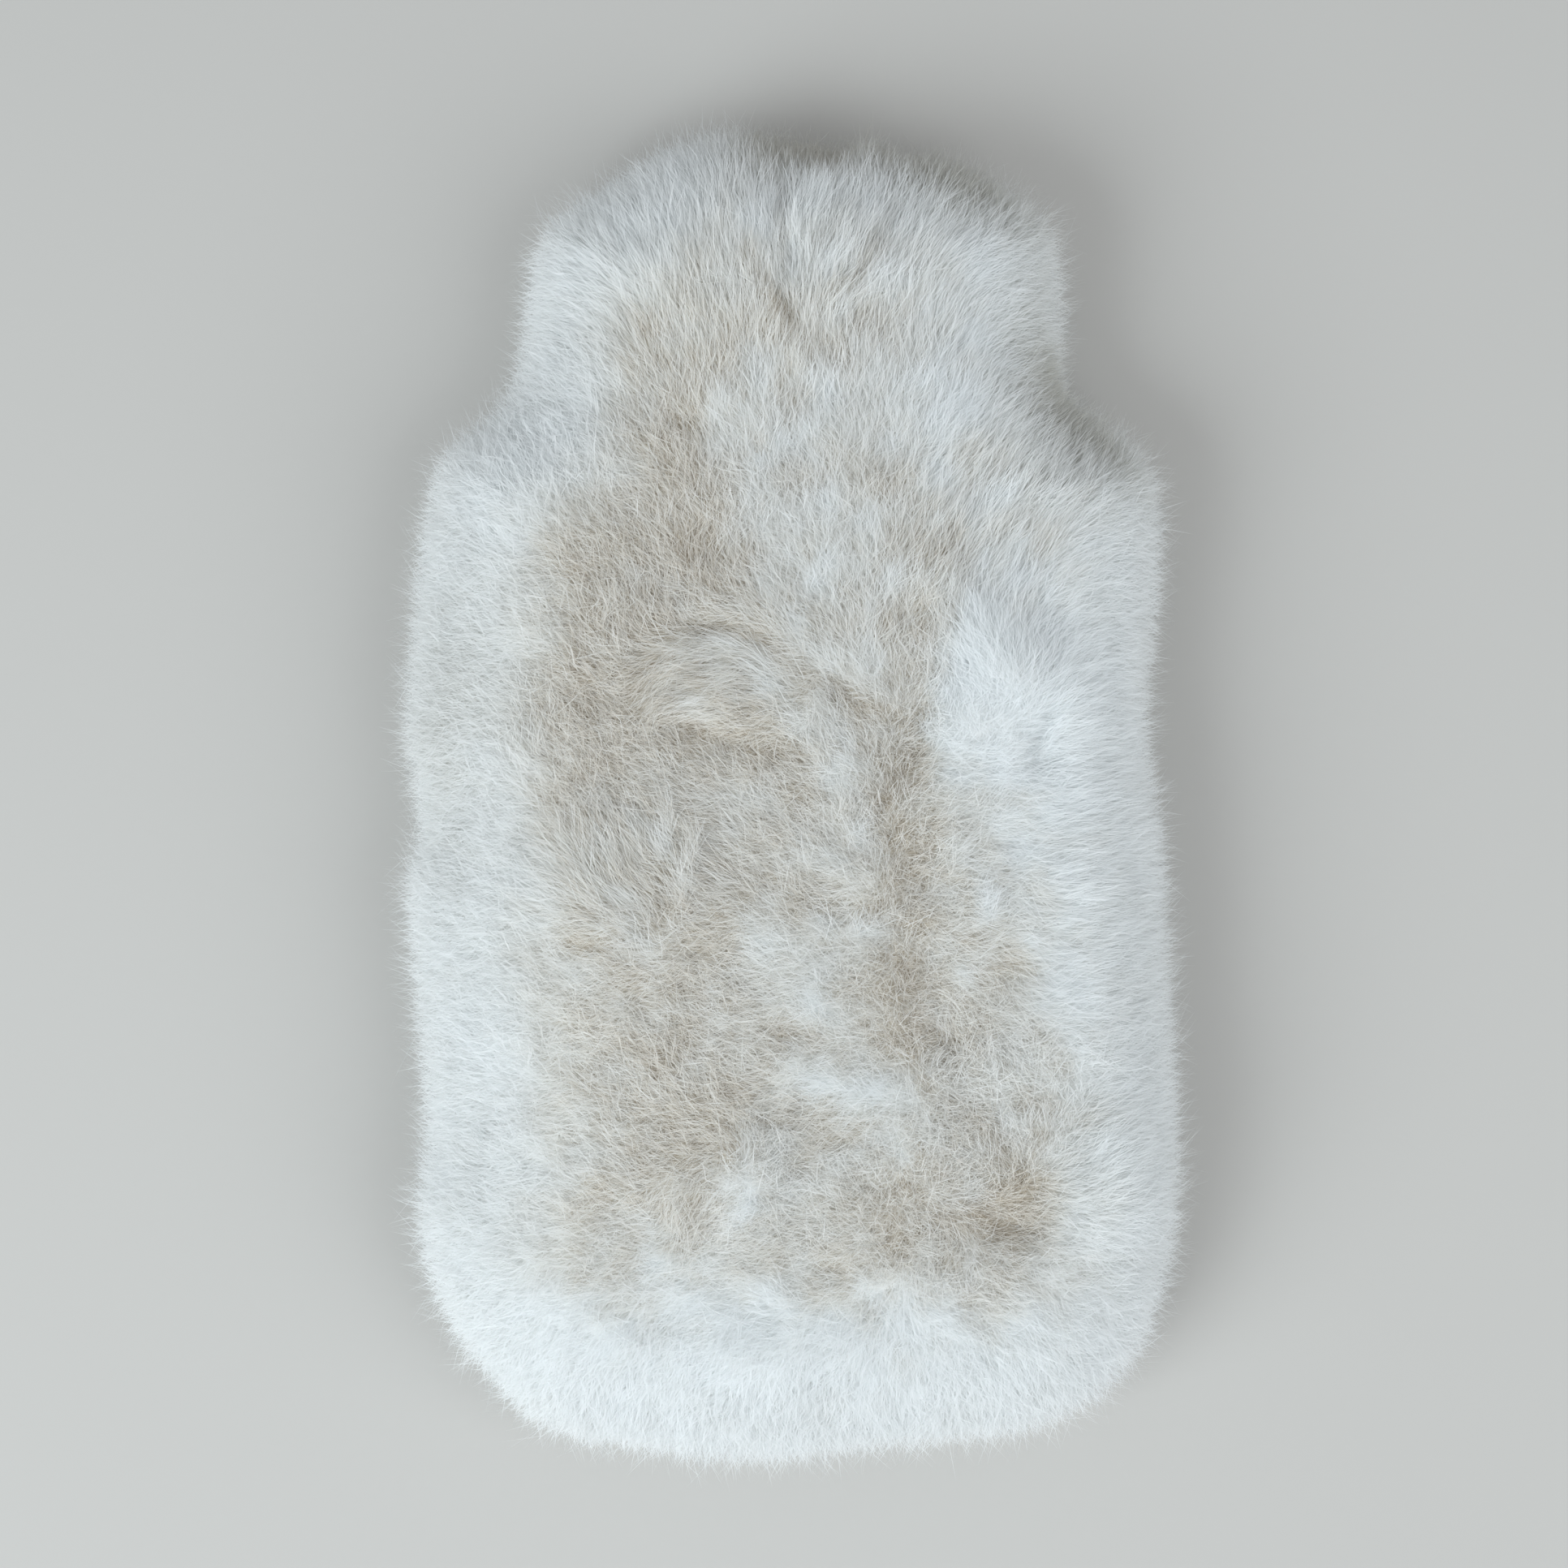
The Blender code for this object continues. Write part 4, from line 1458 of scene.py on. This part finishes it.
@dataclass
class Roots:
    """Where strands grow: place, surface normal, outward way, rim share and stretch."""

    place: np.ndarray
    normal: np.ndarray
    outward: np.ndarray
    rim: np.ndarray
    stretch: np.ndarray

    @classmethod
    def scattered(cls, form: CoverForm, rings: np.ndarray, rim: np.ndarray, dense: np.ndarray, count: int,
                  chance: np.random.Generator) -> "Roots":
        """Scatter roots over rings, by area and density.

        Args:
            form: the cover's form, for its outward normals and reach.
            rings: (rings, around, 3) surface.
            rim: (rings,) 1 on the rim and 0 on the flat.
            dense: (rings,) how dense the roots stand, against 1.
            count: how many roots.
            chance: the source of randomness.

        Returns:
            The roots, in order along the rings.
        """
        normals = grid_normals(rings)
        around = np.roll(rings, -1, axis=1) - rings
        area = np.linalg.norm(np.cross(around[:-1], np.diff(rings, axis=0)), axis=2)
        total = np.cumsum((area * dense[:-1, None]).ravel())
        pick = (np.arange(count) + chance.random(count)) / count * total[-1]
        cell = np.minimum(np.searchsorted(total, pick), area.size - 1)
        row, column = np.divmod(cell, rings.shape[1])
        after = (column + 1) % rings.shape[1]
        u, v = chance.random((2, count, 1))

        def blend(grid: np.ndarray) -> np.ndarray:
            """Blend a grid's values at the roots.

            Args:
                grid: (rings, around, 3) values.

            Returns:
                (count, 3) values.
            """
            low = grid[row, column] * (1 - u) + grid[row, after] * u
            high = grid[row + 1, column] * (1 - u) + grid[row + 1, after] * u
            return low * (1 - v) + high * v

        wide = form.out[column] * (1 - u) + form.out[after] * u
        share = rim[row] * (1 - v[:, 0]) + rim[row + 1] * v[:, 0]
        outward = np.column_stack([unit(wide), np.zeros(count)])
        stretch = np.clip(form.reach[column] / form.tip_reach, *STRETCHES)
        return cls(blend(rings), unit(blend(normals)), outward, share, 1 + (stretch - 1) * share)

    def part(self, chosen: np.ndarray) -> "Roots":
        """Return the chosen roots."""
        fields = (self.place, self.normal, self.outward, self.rim, self.stretch)
        return Roots(*(values[chosen] for values in fields))


class Pile:
    """Grows strands as narrow tapering ribbons."""

    hang: float = 0.7
    hang_haste: float = 2.0

    def __init__(self, form: CoverForm, combing: Combing, tones: Tones, style: PileStyle, seed: int) -> None:
        """Keep what shapes and colours the strands, and seed the randomness.

        Args:
            form: the cover's form.
            combing: which way the pile lies.
            tones: how creamy it is.
            style: how this layer grows.
            seed: where its random draws start.
        """
        self.form = form
        self.combing = combing
        self.tones = tones
        self.style = style
        self.chance = np.random.default_rng(seed)
        self.stops = np.array(style.stops)

    def comb(self, roots: Roots) -> np.ndarray:
        """Blend the front's combing with the way that the rim's pile hangs.

        On the rim it points outward, and above the widest line also down, so
        that it closes over the seam.

        Args:
            roots: where the strands grow.

        Returns:
            (n, 3) vectors along which the tips point.
        """
        flow = np.column_stack([self.combing.direction(roots.place), np.zeros(len(roots.place))])
        share = ease(roots.rim)[:, None]
        hang = np.zeros_like(flow)
        hang[:, 2] = -self.hang * ease(0.5 + self.hang_haste * roots.normal[:, 2])
        return flow * (1 - share) + (roots.outward + hang) * share

    def tone(self, lie: np.ndarray, tuft: np.ndarray) -> tuple[np.ndarray, np.ndarray]:
        """Work out each strand's warmth and lightness: its place's, with some of its own.

        A strand that is lighter than its place is also cooler, and white pile
        is more even than beige. Its place's lightness holds painted shade in
        the creases and painted highlight on the standing locks.

        Args:
            lie: (n, 3) where each strand lies.
            tuft: the number of each strand's tuft.

        Returns:
            Warmth from 0 to 1, and lightness, which the rim's painted shade takes below 0 in its hollows.
        """
        fixed, plan = self.style.warmth, lie[:, :2]
        base = self.tones.at(self.form, lie) if fixed is None else np.full(len(lie), fixed)
        per_tuft = self.chance.normal(size=tuft.max() + 1)[tuft]
        own = HABIT.tuft_light * per_tuft + HABIT.strand_light * self.chance.normal(size=len(tuft))
        even = HABIT.white_even + HABIT.beige_even * base
        own = own * even
        least, more = HABIT.cooler
        warmth = base - (least + more * base) * own
        # Painted highlight on standing locks and painted shade in creases.
        place = HABIT.lock_painted_light * lock_mood(plan) - HABIT.cloud_light * self.tones.cloud(lie)
        place = place + self.tones.light(plan)
        lightness = np.clip(self.style.lightness * np.minimum(even, 1.0) + 0.5 + own + place, 0.0, 1.0)
        # The rim's painted shade goes on after the clip, so it can take the lightness below 0.
        return np.clip(warmth, 0.0, 1.0), lightness + self.tones.rim_painted_light(lie)

    def paths(self, roots: Roots, flow: np.ndarray, mood: np.ndarray, tuft: np.ndarray,
              lock: np.ndarray) -> np.ndarray:
        """Grow each strand's middle line.

        It starts near the surface normal and leans over towards the combing:
        P(t) = root + L (n cos(a) (1.35 t - 0.35 t^2) + c sin(a) t^1.4), bends
        sideways by t^2 and sin(5 t), and sinks by droop. Its tip is then drawn
        to its tuft's and its lock's mean tip by t^2, in some tufts more and on
        the rim less.

        Args:
            roots: where the strands grow.
            flow: (n, 3) the way that they are combed.
            mood: how far they lie in a standing lock, or in a crease, where
                they are short.
            tuft: the number of each strand's tuft.
            lock: the number of each strand's lock.

        Returns:
            (n, stops, 3) points.
        """
        style, chance, n = self.style, self.chance, len(roots.place)
        firm = np.linalg.norm(flow, axis=1)
        per_lock = chance.normal(size=(lock.max() + 1, 3))[lock]
        per_tuft = chance.normal(size=(tuft.max() + 1, 4))[tuft]
        stray = chance.normal(size=(n, 3))
        mixed = HABIT.lock_turn * per_lock + HABIT.tuft_turn * per_tuft[:, :3] + stray
        straight = self.combing.brushed(roots.place[:, :2])
        calm = 1 - HABIT.brushed_calm * straight[:, None]
        comb = unit(flow + np.tan(math.radians(style.stray_deg)) * mixed * calm)
        comb = unit(comb - roots.normal * np.sum(comb * roots.normal, axis=1, keepdims=True))
        side = np.cross(roots.normal, comb)
        lean = style.lean_deg + (style.rim_lean_deg - style.lean_deg) * ease(roots.rim)
        lean = np.radians(lean * (HABIT.standing_lean + (1 - HABIT.standing_lean) * np.minimum(firm, 1.0)))
        crease, standing = np.minimum(mood, 0.0), np.maximum(mood, 0.0)
        lift = (HABIT.lock_lift * per_lock[:, 0] + HABIT.tuft_lift * per_tuft[:, 1]
                + HABIT.strand_lift * stray[:, 2] + HABIT.standing_lift * standing)
        lean = lean - np.clip(lift, -HABIT.most_sink, style.most_lift)
        vary = HABIT.lock_length * per_lock[:, 2] + HABIT.tuft_length * per_tuft[:, 2] + stray[:, 1]
        vary = np.clip(1 + style.spread * vary, HABIT.shortest, HABIT.longest)
        length = style.length * roots.stretch * vary
        length = length * (1 + HABIT.brushed_length * straight * (1 - roots.rim))
        length = length * (1 + HABIT.crease_length * crease + HABIT.standing_length * standing)
        t = self.stops[None, :, None]
        up = roots.normal[:, None] * (np.cos(lean)[:, None, None] * rise_along(t))
        over = comb[:, None] * (np.sin(lean)[:, None, None] * lean_along(t))
        curly = 1 - HABIT.brushed_curl * straight
        curl = style.curl * (HABIT.tuft_curl * per_tuft[:, 3] + chance.normal(size=n)) * curly
        wave = style.wave * chance.normal(size=n) * curly
        bend = side[:, None] * (curl[:, None, None] * t**2 + wave[:, None, None] * wave_along(t))
        path = roots.place[:, None] + (up + over + bend) * length[:, None, None]
        sink = style.droop * length * (1 - np.clip(roots.normal[:, 2], 0.0, 1.0))
        path[:, :, 2] -= sink[:, None] * self.stops**2
        tip = path[:, -1]
        pull = HABIT.tuft_pull * (tuft_mean(tip, tuft) - tip) + HABIT.lock_pull * (tuft_mean(tip, lock) - tip)
        gather = style.gather * np.clip(1 + HABIT.gather_spread * per_tuft[:, :1], 0.0, HABIT.most_gather)
        gather = gather * (1 - HABIT.rim_gather * roots.rim[:, None])
        path = path + pull[:, None] * gather[:, None] * t**2
        path[:, :, 2] = np.maximum(path[:, :, 2], style.floor + HABIT.root_floor * (1 - self.stops))
        return path

    def ribbons(self, name: str, roots: Roots) -> bpy.types.Mesh:
        """Turn the strands into one mesh of ribbons.

        A ribbon's flat side faces outward, rolled a little at random. Its map
        holds its warmth across and its lightness along, rising to the tip.
        Both are read where the strand lies, part of its length from its root.

        Args:
            name: the mesh's name.
            roots: where the strands grow.

        Returns:
            The mesh.
        """
        style, chance = self.style, self.chance
        tuft = nearest_tuft(roots.place, style.tuft, Salt.TUFTS)
        lock = nearest_tuft(roots.place, style.lock, Salt.LOCKS)
        flow = self.comb(roots)
        lie = roots.place + HABIT.toned_at * style.length * flow
        path = self.paths(roots, flow, lock_mood(lie[:, :2]), tuft, lock)
        n, stops = path.shape[:2]
        way = unit(np.gradient(path, axis=1))
        roll = chance.normal(scale=HABIT.roll, size=(n, 1, 1))
        facing = roots.normal[:, None] - way * np.sum(way * roots.normal[:, None], axis=2, keepdims=True)
        facing = unit(facing + 1e-6)
        across = np.cross(way, facing)
        across, facing = (across * np.cos(roll) + facing * np.sin(roll),
                          facing * np.cos(roll) - across * np.sin(roll))
        thick = HABIT.thinnest + HABIT.thickness_spread * chance.random((n, 1, 1))
        half = style.width / 2 * thick * np.interp(self.stops, *TAPER)[None, :, None]
        left, right = path - across * half, path + across * half
        pairs = np.stack([left[:, :-1], right[:, :-1]], axis=2).reshape(n, -1, 3)
        points = np.concatenate([pairs, path[:, -1:]], axis=1)
        per = points.shape[1]
        normals = unit((1 - style.soft_shade) * facing + style.soft_shade * roots.normal[:, None])
        normals = np.concatenate([np.repeat(normals[:, :-1], 2, axis=1), normals[:, -1:]], axis=1)

        quads = [(2 * k, 2 * k + 1, 2 * k + 3, 2 * k + 2) for k in range(stops - 2)]
        tip = (per - 3, per - 2, per - 1)
        pattern = np.array([*(c for quad in quads for c in quad), *tip])
        corners = (np.arange(n)[:, None] * per + pattern).ravel()
        sides = np.tile([4] * len(quads) + [3], n)
        mesh = mesh_from(name, points.reshape(-1, 3), corners, sides)

        places = StrandMap().places(*self.tone(lie, tuft), self.stops).reshape(-1, 2)[corners]
        layer = mesh.uv_layers.new(name=UV_MAP, do_init=False)
        layer.uv.foreach_set("vector", places.astype(np.float32).ravel())
        mesh.normals_split_custom_set_from_vertices(normals.reshape(-1, 3))
        return mesh


# ------------------------------------------------------------- sub-assemblies


@dataclass
class Panel:
    """One half of the cover: its hide, the wool on it and the pile on that."""

    form: CoverForm
    combing: Combing
    tones: Tones
    gap: float = 0.0002
    seam_spare: float = 1.04

    def toned(self, mesh: bpy.types.Mesh) -> bpy.types.Mesh:
        """Give a mesh's vertices their warmth as an attribute.

        Args:
            mesh: a wool.

        Returns:
            The same mesh.
        """
        tone = self.tones.at(self.form, vertex_places(mesh))
        made = mesh.attributes.new(TONE, "FLOAT", "POINT")
        made.data.foreach_set("value", tone.astype(np.float32))
        return mesh

    def hide_mesh(self, name: str, side: Side) -> bpy.types.Mesh:
        """Close the hide's pocket face and its wool face into one thin body.

        Args:
            name: the mesh's name.
            side: which hide.

        Returns:
            The mesh.
        """
        near = self.form.pocket_rings(side, 0.0)
        far = self.form.pocket_rings(side, side.value * self.form.hide_thickness)
        return closed_mesh(name, np.concatenate([near[::-1], far]))

    def hide_sheet(self, piece: bpy.types.Object, pile: list[bpy.types.Object]) -> None:
        """Work out half of the hide's surface area, and keep nothing.

        Args:
            piece: the hide.
            pile: the pieces that grow on it; not used.
        """
        surface_area(piece.data) / 2


@dataclass
class FrontPanel(Panel):
    """The crowned front, with its long pile in stretches from foot to head."""

    under_pile: PileStyle = PileStyle(strands=90000, length=0.0060, width=0.00027, lean_deg=66,
                                      rim_lean_deg=46, stray_deg=20, gather=0.13, lightness=-0.18,
                                      stops=STRAIGHT)
    short_pile: PileStyle = PileStyle(strands=100000, length=0.0076, width=0.00018, lean_deg=68,
                                      rim_lean_deg=46, stray_deg=15, gather=0.14, curl=0.28, stops=BENT)
    long_pile: PileStyle = PileStyle(strands=50000, length=0.0090, width=0.00018, lean_deg=68,
                                     rim_lean_deg=44, stray_deg=14, gather=0.20, curl=0.32, wave=0.14,
                                     soft_shade=0.5, lightness=0.14)
    stray_hair: PileStyle = PileStyle(strands=6000, length=0.0092, width=0.00012, lean_deg=62,
                                      rim_lean_deg=44, stray_deg=30, gather=0.1, curl=0.45, lightness=0.35,
                                      stops=BENT)
    most_triangles: int = 190000
    bare_rows: int = 4
    rim_until: tuple[tuple[float, ...], tuple[float, ...]] = ((0, 12, 20), (1.0, 0.45, 0.0))
    dense_from: tuple[tuple[float, ...], tuple[float, ...]] = ((0, 5), (0.1, 1.0))

    def build(self) -> list[bpy.types.Object]:
        """Build the hide, the wool and the pile.

        Returns:
            The pieces, with the hide first.
        """
        hide = as_piece(self.hide_mesh("front_hide", Side.FRONT), HideFinish("front_suede").material())
        wool = self.wool()
        pile = [wool, *self.pile()]
        self.hide_sheet(hide, pile)
        return [hide, *pile]

    def wool(self) -> bpy.types.Object:
        """Close the wool between the hide and its own tousled surface.

        Returns:
            The wool, which stands for the front panel.
        """
        form = self.form
        inner = form.pocket_rings(Side.FRONT, form.hide_thickness + self.gap)[::-1]
        rings = np.concatenate([inner, form.seam_rings(Side.FRONT), form.front_rings()])
        mesh = closed_mesh("front_wool", rings)
        piece = as_piece(self.toned(mesh), WoolFinish("front_wool").material())
        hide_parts("front_panel")
        return piece

    def pile(self) -> list[bpy.types.Object]:
        """Grow the pile in its layers, each cut into pieces by where it stands.

        Returns:
            The pieces, layer by layer.
        """
        chance = np.random.default_rng(Seed.FRONT_ROOTS)
        rings = self.form.front_rings()[self.bare_rows:]
        row = np.arange(len(rings))
        rim, dense = np.interp(row, *self.rim_until), np.interp(row, *self.dense_from)
        material = PileFinish("long_pile").material()
        made = []
        layers = (("under_pile", self.under_pile), ("short_pile", self.short_pile),
                  ("long_pile", self.long_pile), ("stray_hair", self.stray_hair))
        for number, (layer, style) in enumerate(layers):
            roots = Roots.scattered(self.form, rings, rim, dense, style.strands, chance)
            order = np.argsort(roots.place[:, 1])
            triangles = style.strands * (2 * len(style.stops) - 3)
            parts = np.array_split(order, math.ceil(triangles / self.most_triangles))
            for k, chosen in enumerate(parts):
                seed = Seed.FRONT_PILE + Seed.LAYER_STEP * number + k
                pile = Pile(self.form, self.combing, self.tones, style, seed)
                mesh = pile.ribbons(f"front_{layer}_{k + 1}", roots.part(chosen))
                made.append(as_piece(mesh, material))
        return made


@dataclass
class BackPanel(Panel):
    """The back, with its pile pressed flat and the slit that the bottle goes in through."""

    style: PileStyle = PileStyle(strands=24000, length=0.0105, width=0.00060, lean_deg=80, rim_lean_deg=70,
                                 stray_deg=26, gather=0.5, lightness=0.1, warmth=0.25, stops=STRAIGHT)
    slit_length: float = 0.170
    slit_gape: float = 0.008
    slit_y: float = 0.045
    slit_points: int = 64
    slit_square: float = 0.4
    slit_spare: float = 0.002
    slit_clear: float = 0.001
    edge_rows: int = 14
    rim_edge: float = 0.6

    def build(self) -> list[bpy.types.Object]:
        """Build the hide, the wool and the pressed pile, open at the slit.

        Returns:
            The pieces, with the hide first.
        """
        slit = self.slit()
        mesh = cut_away("back_hide", self.hide_mesh("uncut_hide", Side.BACK), slit)
        hide = as_piece(mesh, HideFinish("back_suede").material())
        wool = self.wool(slit)
        pile = [wool, self.pile()]
        self.hide_sheet(hide, pile)
        return [hide, *pile]

    def slit(self) -> bpy.types.Mesh:
        """Model the slit's form: x = a |cos|^p with cos's own sign, y = b sin, carried straight up.

        Returns:
            The mesh of the form that is cut away.
        """
        count = self.slit_points
        turn = np.arange(count) / count * 2 * math.pi
        x = self.slit_length / 2 * np.sign(np.cos(turn)) * np.abs(np.cos(turn)) ** self.slit_square
        y = self.slit_y + self.slit_gape / 2 * np.sin(turn)
        heights = (-self.slit_spare, self.form.seam_height + self.slit_spare)
        rings = np.array([np.column_stack([x, y, np.full(count, z)]) for z in heights])
        ends = [np.arange(count)[::-1], np.arange(count, 2 * count)]
        corners = np.concatenate([ring_faces(2, count).ravel(), *ends])
        return mesh_from("slit", rings.reshape(-1, 3), corners, np.array([4] * count + [count, count]))

    def wool(self, slit: bpy.types.Mesh) -> bpy.types.Object:
        """Close the wool between its pressed face and the hide, and cut the slit.

        Args:
            slit: the slit's form.

        Returns:
            The wool, which stands for the back panel.
        """
        form = self.form
        top = form.pocket_rings(Side.BACK, -form.hide_thickness - self.gap)
        rings = np.concatenate([form.back_rings()[:-1], form.seam_rings(Side.BACK), top])
        mesh = cut_away("back_wool", closed_mesh("uncut_wool", rings), slit)
        piece = as_piece(self.toned(mesh), WoolFinish("back_wool").material())
        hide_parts("back_panel")
        return piece

    def pile(self) -> bpy.types.Object:
        """Grow the pressed pile over the underside, clear of the slit.

        Returns:
            The pressed pile.
        """
        chance = np.random.default_rng(Seed.BACK_ROOTS)
        rings = self.form.back_rings()[:self.edge_rows + 1][::-1]
        rim = np.linspace(self.rim_edge, 0.0, len(rings))
        roots = Roots.scattered(self.form, rings, rim, np.ones(len(rings)), self.style.strands, chance)
        roots.normal = roots.normal * np.sign(-roots.normal[:, 2:])
        across = np.abs(roots.place[:, 1] - self.slit_y) < 0.5 * self.slit_gape + self.slit_clear
        within = np.abs(roots.place[:, 0]) < 0.5 * self.slit_length + self.slit_clear
        roots = roots.part(~(across & within))
        pile = Pile(self.form, self.combing, self.tones, self.style, Seed.BACK_PILE)
        mesh = pile.ribbons("back_pile", roots)
        return as_piece(mesh, PileFinish("pressed_pile").material())


@dataclass
class RimPile:
    """The pile that stands out round the cover's edge."""

    form: CoverForm
    combing: Combing
    tones: Tones
    long_pile: PileStyle = PileStyle(strands=26000, length=0.0086, width=0.00016, lean_deg=40,
                                     rim_lean_deg=38, stray_deg=16, gather=0.20, curl=0.2, droop=0.2,
                                     lightness=0.15)
    short_pile: PileStyle = PileStyle(strands=30000, length=0.0070, width=0.00022, lean_deg=42,
                                      rim_lean_deg=40, stray_deg=20, gather=0.18, droop=0.15,
                                      stops=STRAIGHT)
    stray_hair: PileStyle = PileStyle(strands=9500, length=0.0124, width=0.00012, lean_deg=36,
                                      rim_lean_deg=32, stray_deg=24, gather=0.08, curl=0.30, lightness=0.35,
                                      stops=BENT)
    front_rows: int = 10
    fading_rows: int = 5
    faded: float = 0.1
    back_rows: int = 7

    def build(self) -> list[bpy.types.Object]:
        """Grow the rim's pile and let it stand for the rim's locks.

        Returns:
            The pieces, one for each layer.
        """
        chance = np.random.default_rng(Seed.RIM_ROOTS)
        front = self.form.front_rings()[:self.front_rows]
        back = self.form.back_rings()[-self.back_rows:-1]
        rings = np.concatenate([back, front])
        last = len(rings) - 1
        dense = np.interp(np.arange(len(rings)), (last - self.fading_rows, last), (1.0, self.faded))
        material = PileFinish("rim_pile").material()
        made = []
        styles = (self.long_pile, self.short_pile, self.stray_hair)
        layers = zip(("long_pile", "short_pile", "stray_hair"), styles)
        for number, (layer, style) in enumerate(layers):
            roots = Roots.scattered(self.form, rings, np.ones(len(rings)), dense, style.strands, chance)
            pile = Pile(self.form, self.combing, self.tones, style, Seed.RIM_PILE + number)
            made.append(as_piece(pile.ribbons(f"rim_{layer}", roots), material))
        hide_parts("rim_pile")
        return made


# --------------------------------------------------------------------- studio


@dataclass(frozen=True)
class Lamp:
    """A square soft lamp that looks at the cover (m, W)."""

    name: str
    place: tuple[float, float, float]
    size: float
    power: float
    colour: tuple[float, float, float]

    def hang(self) -> None:
        """Make the lamp and turn it to the cover."""
        data = bpy.data.lights.new(self.name, "AREA")
        data.size = self.size
        data.energy = self.power
        data.color = self.colour
        made = bpy.data.objects.new(self.name, data)
        made.location = self.place
        made.rotation_euler = (-Vector(self.place)).to_track_quat("-Z", "Y").to_euler()
        bpy.context.scene.collection.objects.link(made)


@dataclass(frozen=True)
class Studio:
    """A pale floor, soft light from the lower left, and a camera straight above."""

    frame_width: float = 0.4554
    camera_height: float = 0.72
    look_height: float = 0.020
    middle: tuple[float, float] = (-0.0024, 0.0031)
    sensor_width: float = 36.0
    floor_half: float = 6.0
    floor_colour: tuple[float, ...] = (0.52, 0.51, 0.49, 1.0)
    floor_roughness: float = 0.9
    key: Lamp = Lamp("key", (-1.25, -0.85, 1.25), 1.2, 27.0, (0.89, 0.964, 1.0))
    fill: Lamp = Lamp("fill", (1.15, -0.60, 1.3), 1.4, 14.0, (0.92, 0.97, 1.0))
    room_colour: tuple[float, ...] = (0.955, 0.98, 1.0, 1.0)
    room_strength: float = 0.48
    diffuse_bounces: int = 8
    bounces: int = 12

    def build(self) -> None:
        """Make the camera first, then the floor and the lights."""
        self.camera()
        self.floor()
        self.lights()

    def camera(self) -> None:
        """Place the camera so that its frame is frame_width across the cover."""
        data = bpy.data.cameras.new("camera")
        data.sensor_width = self.sensor_width
        data.lens = data.sensor_width * (self.camera_height - self.look_height) / self.frame_width
        data.dof.use_dof = False
        made = bpy.data.objects.new("camera", data)
        made.location = (*self.middle, self.camera_height)
        bpy.context.scene.collection.objects.link(made)
        bpy.context.scene.camera = made

    def floor(self) -> None:
        """Lay the plain pale floor."""
        half = self.floor_half
        points = np.array([[-half, -half, 0], [half, -half, 0], [half, half, 0], [-half, half, 0]])
        mesh = mesh_from("floor", points, np.arange(4), np.array([4]))
        material, _, shader = new_material("floor")
        shader.inputs["Base Color"].default_value = self.floor_colour
        shader.inputs["Roughness"].default_value = self.floor_roughness
        mesh.materials.append(material)
        made = bpy.data.objects.new("floor", mesh)
        bpy.context.scene.collection.objects.link(made)

    def lights(self) -> None:
        """Hang a wide soft key at the lower left and light the room evenly."""
        self.key.hang()
        self.fill.hang()
        world = bpy.data.worlds.new("room")
        world.use_nodes = True
        room = world.node_tree.nodes["Background"].inputs
        room["Color"].default_value = self.room_colour
        room["Strength"].default_value = self.room_strength
        scene = bpy.context.scene
        scene.world = world
        scene.view_settings.view_transform = "Standard"
        scene.cycles.diffuse_bounces = self.diffuse_bounces
        scene.cycles.max_bounces = self.bounces


def main() -> None:
    """Build the camera and light, then the cover from the wool outward."""
    logging.basicConfig(level=logging.INFO, format="%(name)s: %(message)s")
    Studio().build()
    form = CoverForm()
    combing = Combing()
    tones = Tones()
    parts = (FrontPanel(form, combing, tones), BackPanel(form, combing, tones), RimPile(form, combing, tones))
    for part in parts:
        for piece in part.build():
            LOG.info("%s: %d faces", piece.name, len(piece.data.polygons))


if __name__ == "__main__":
    main()
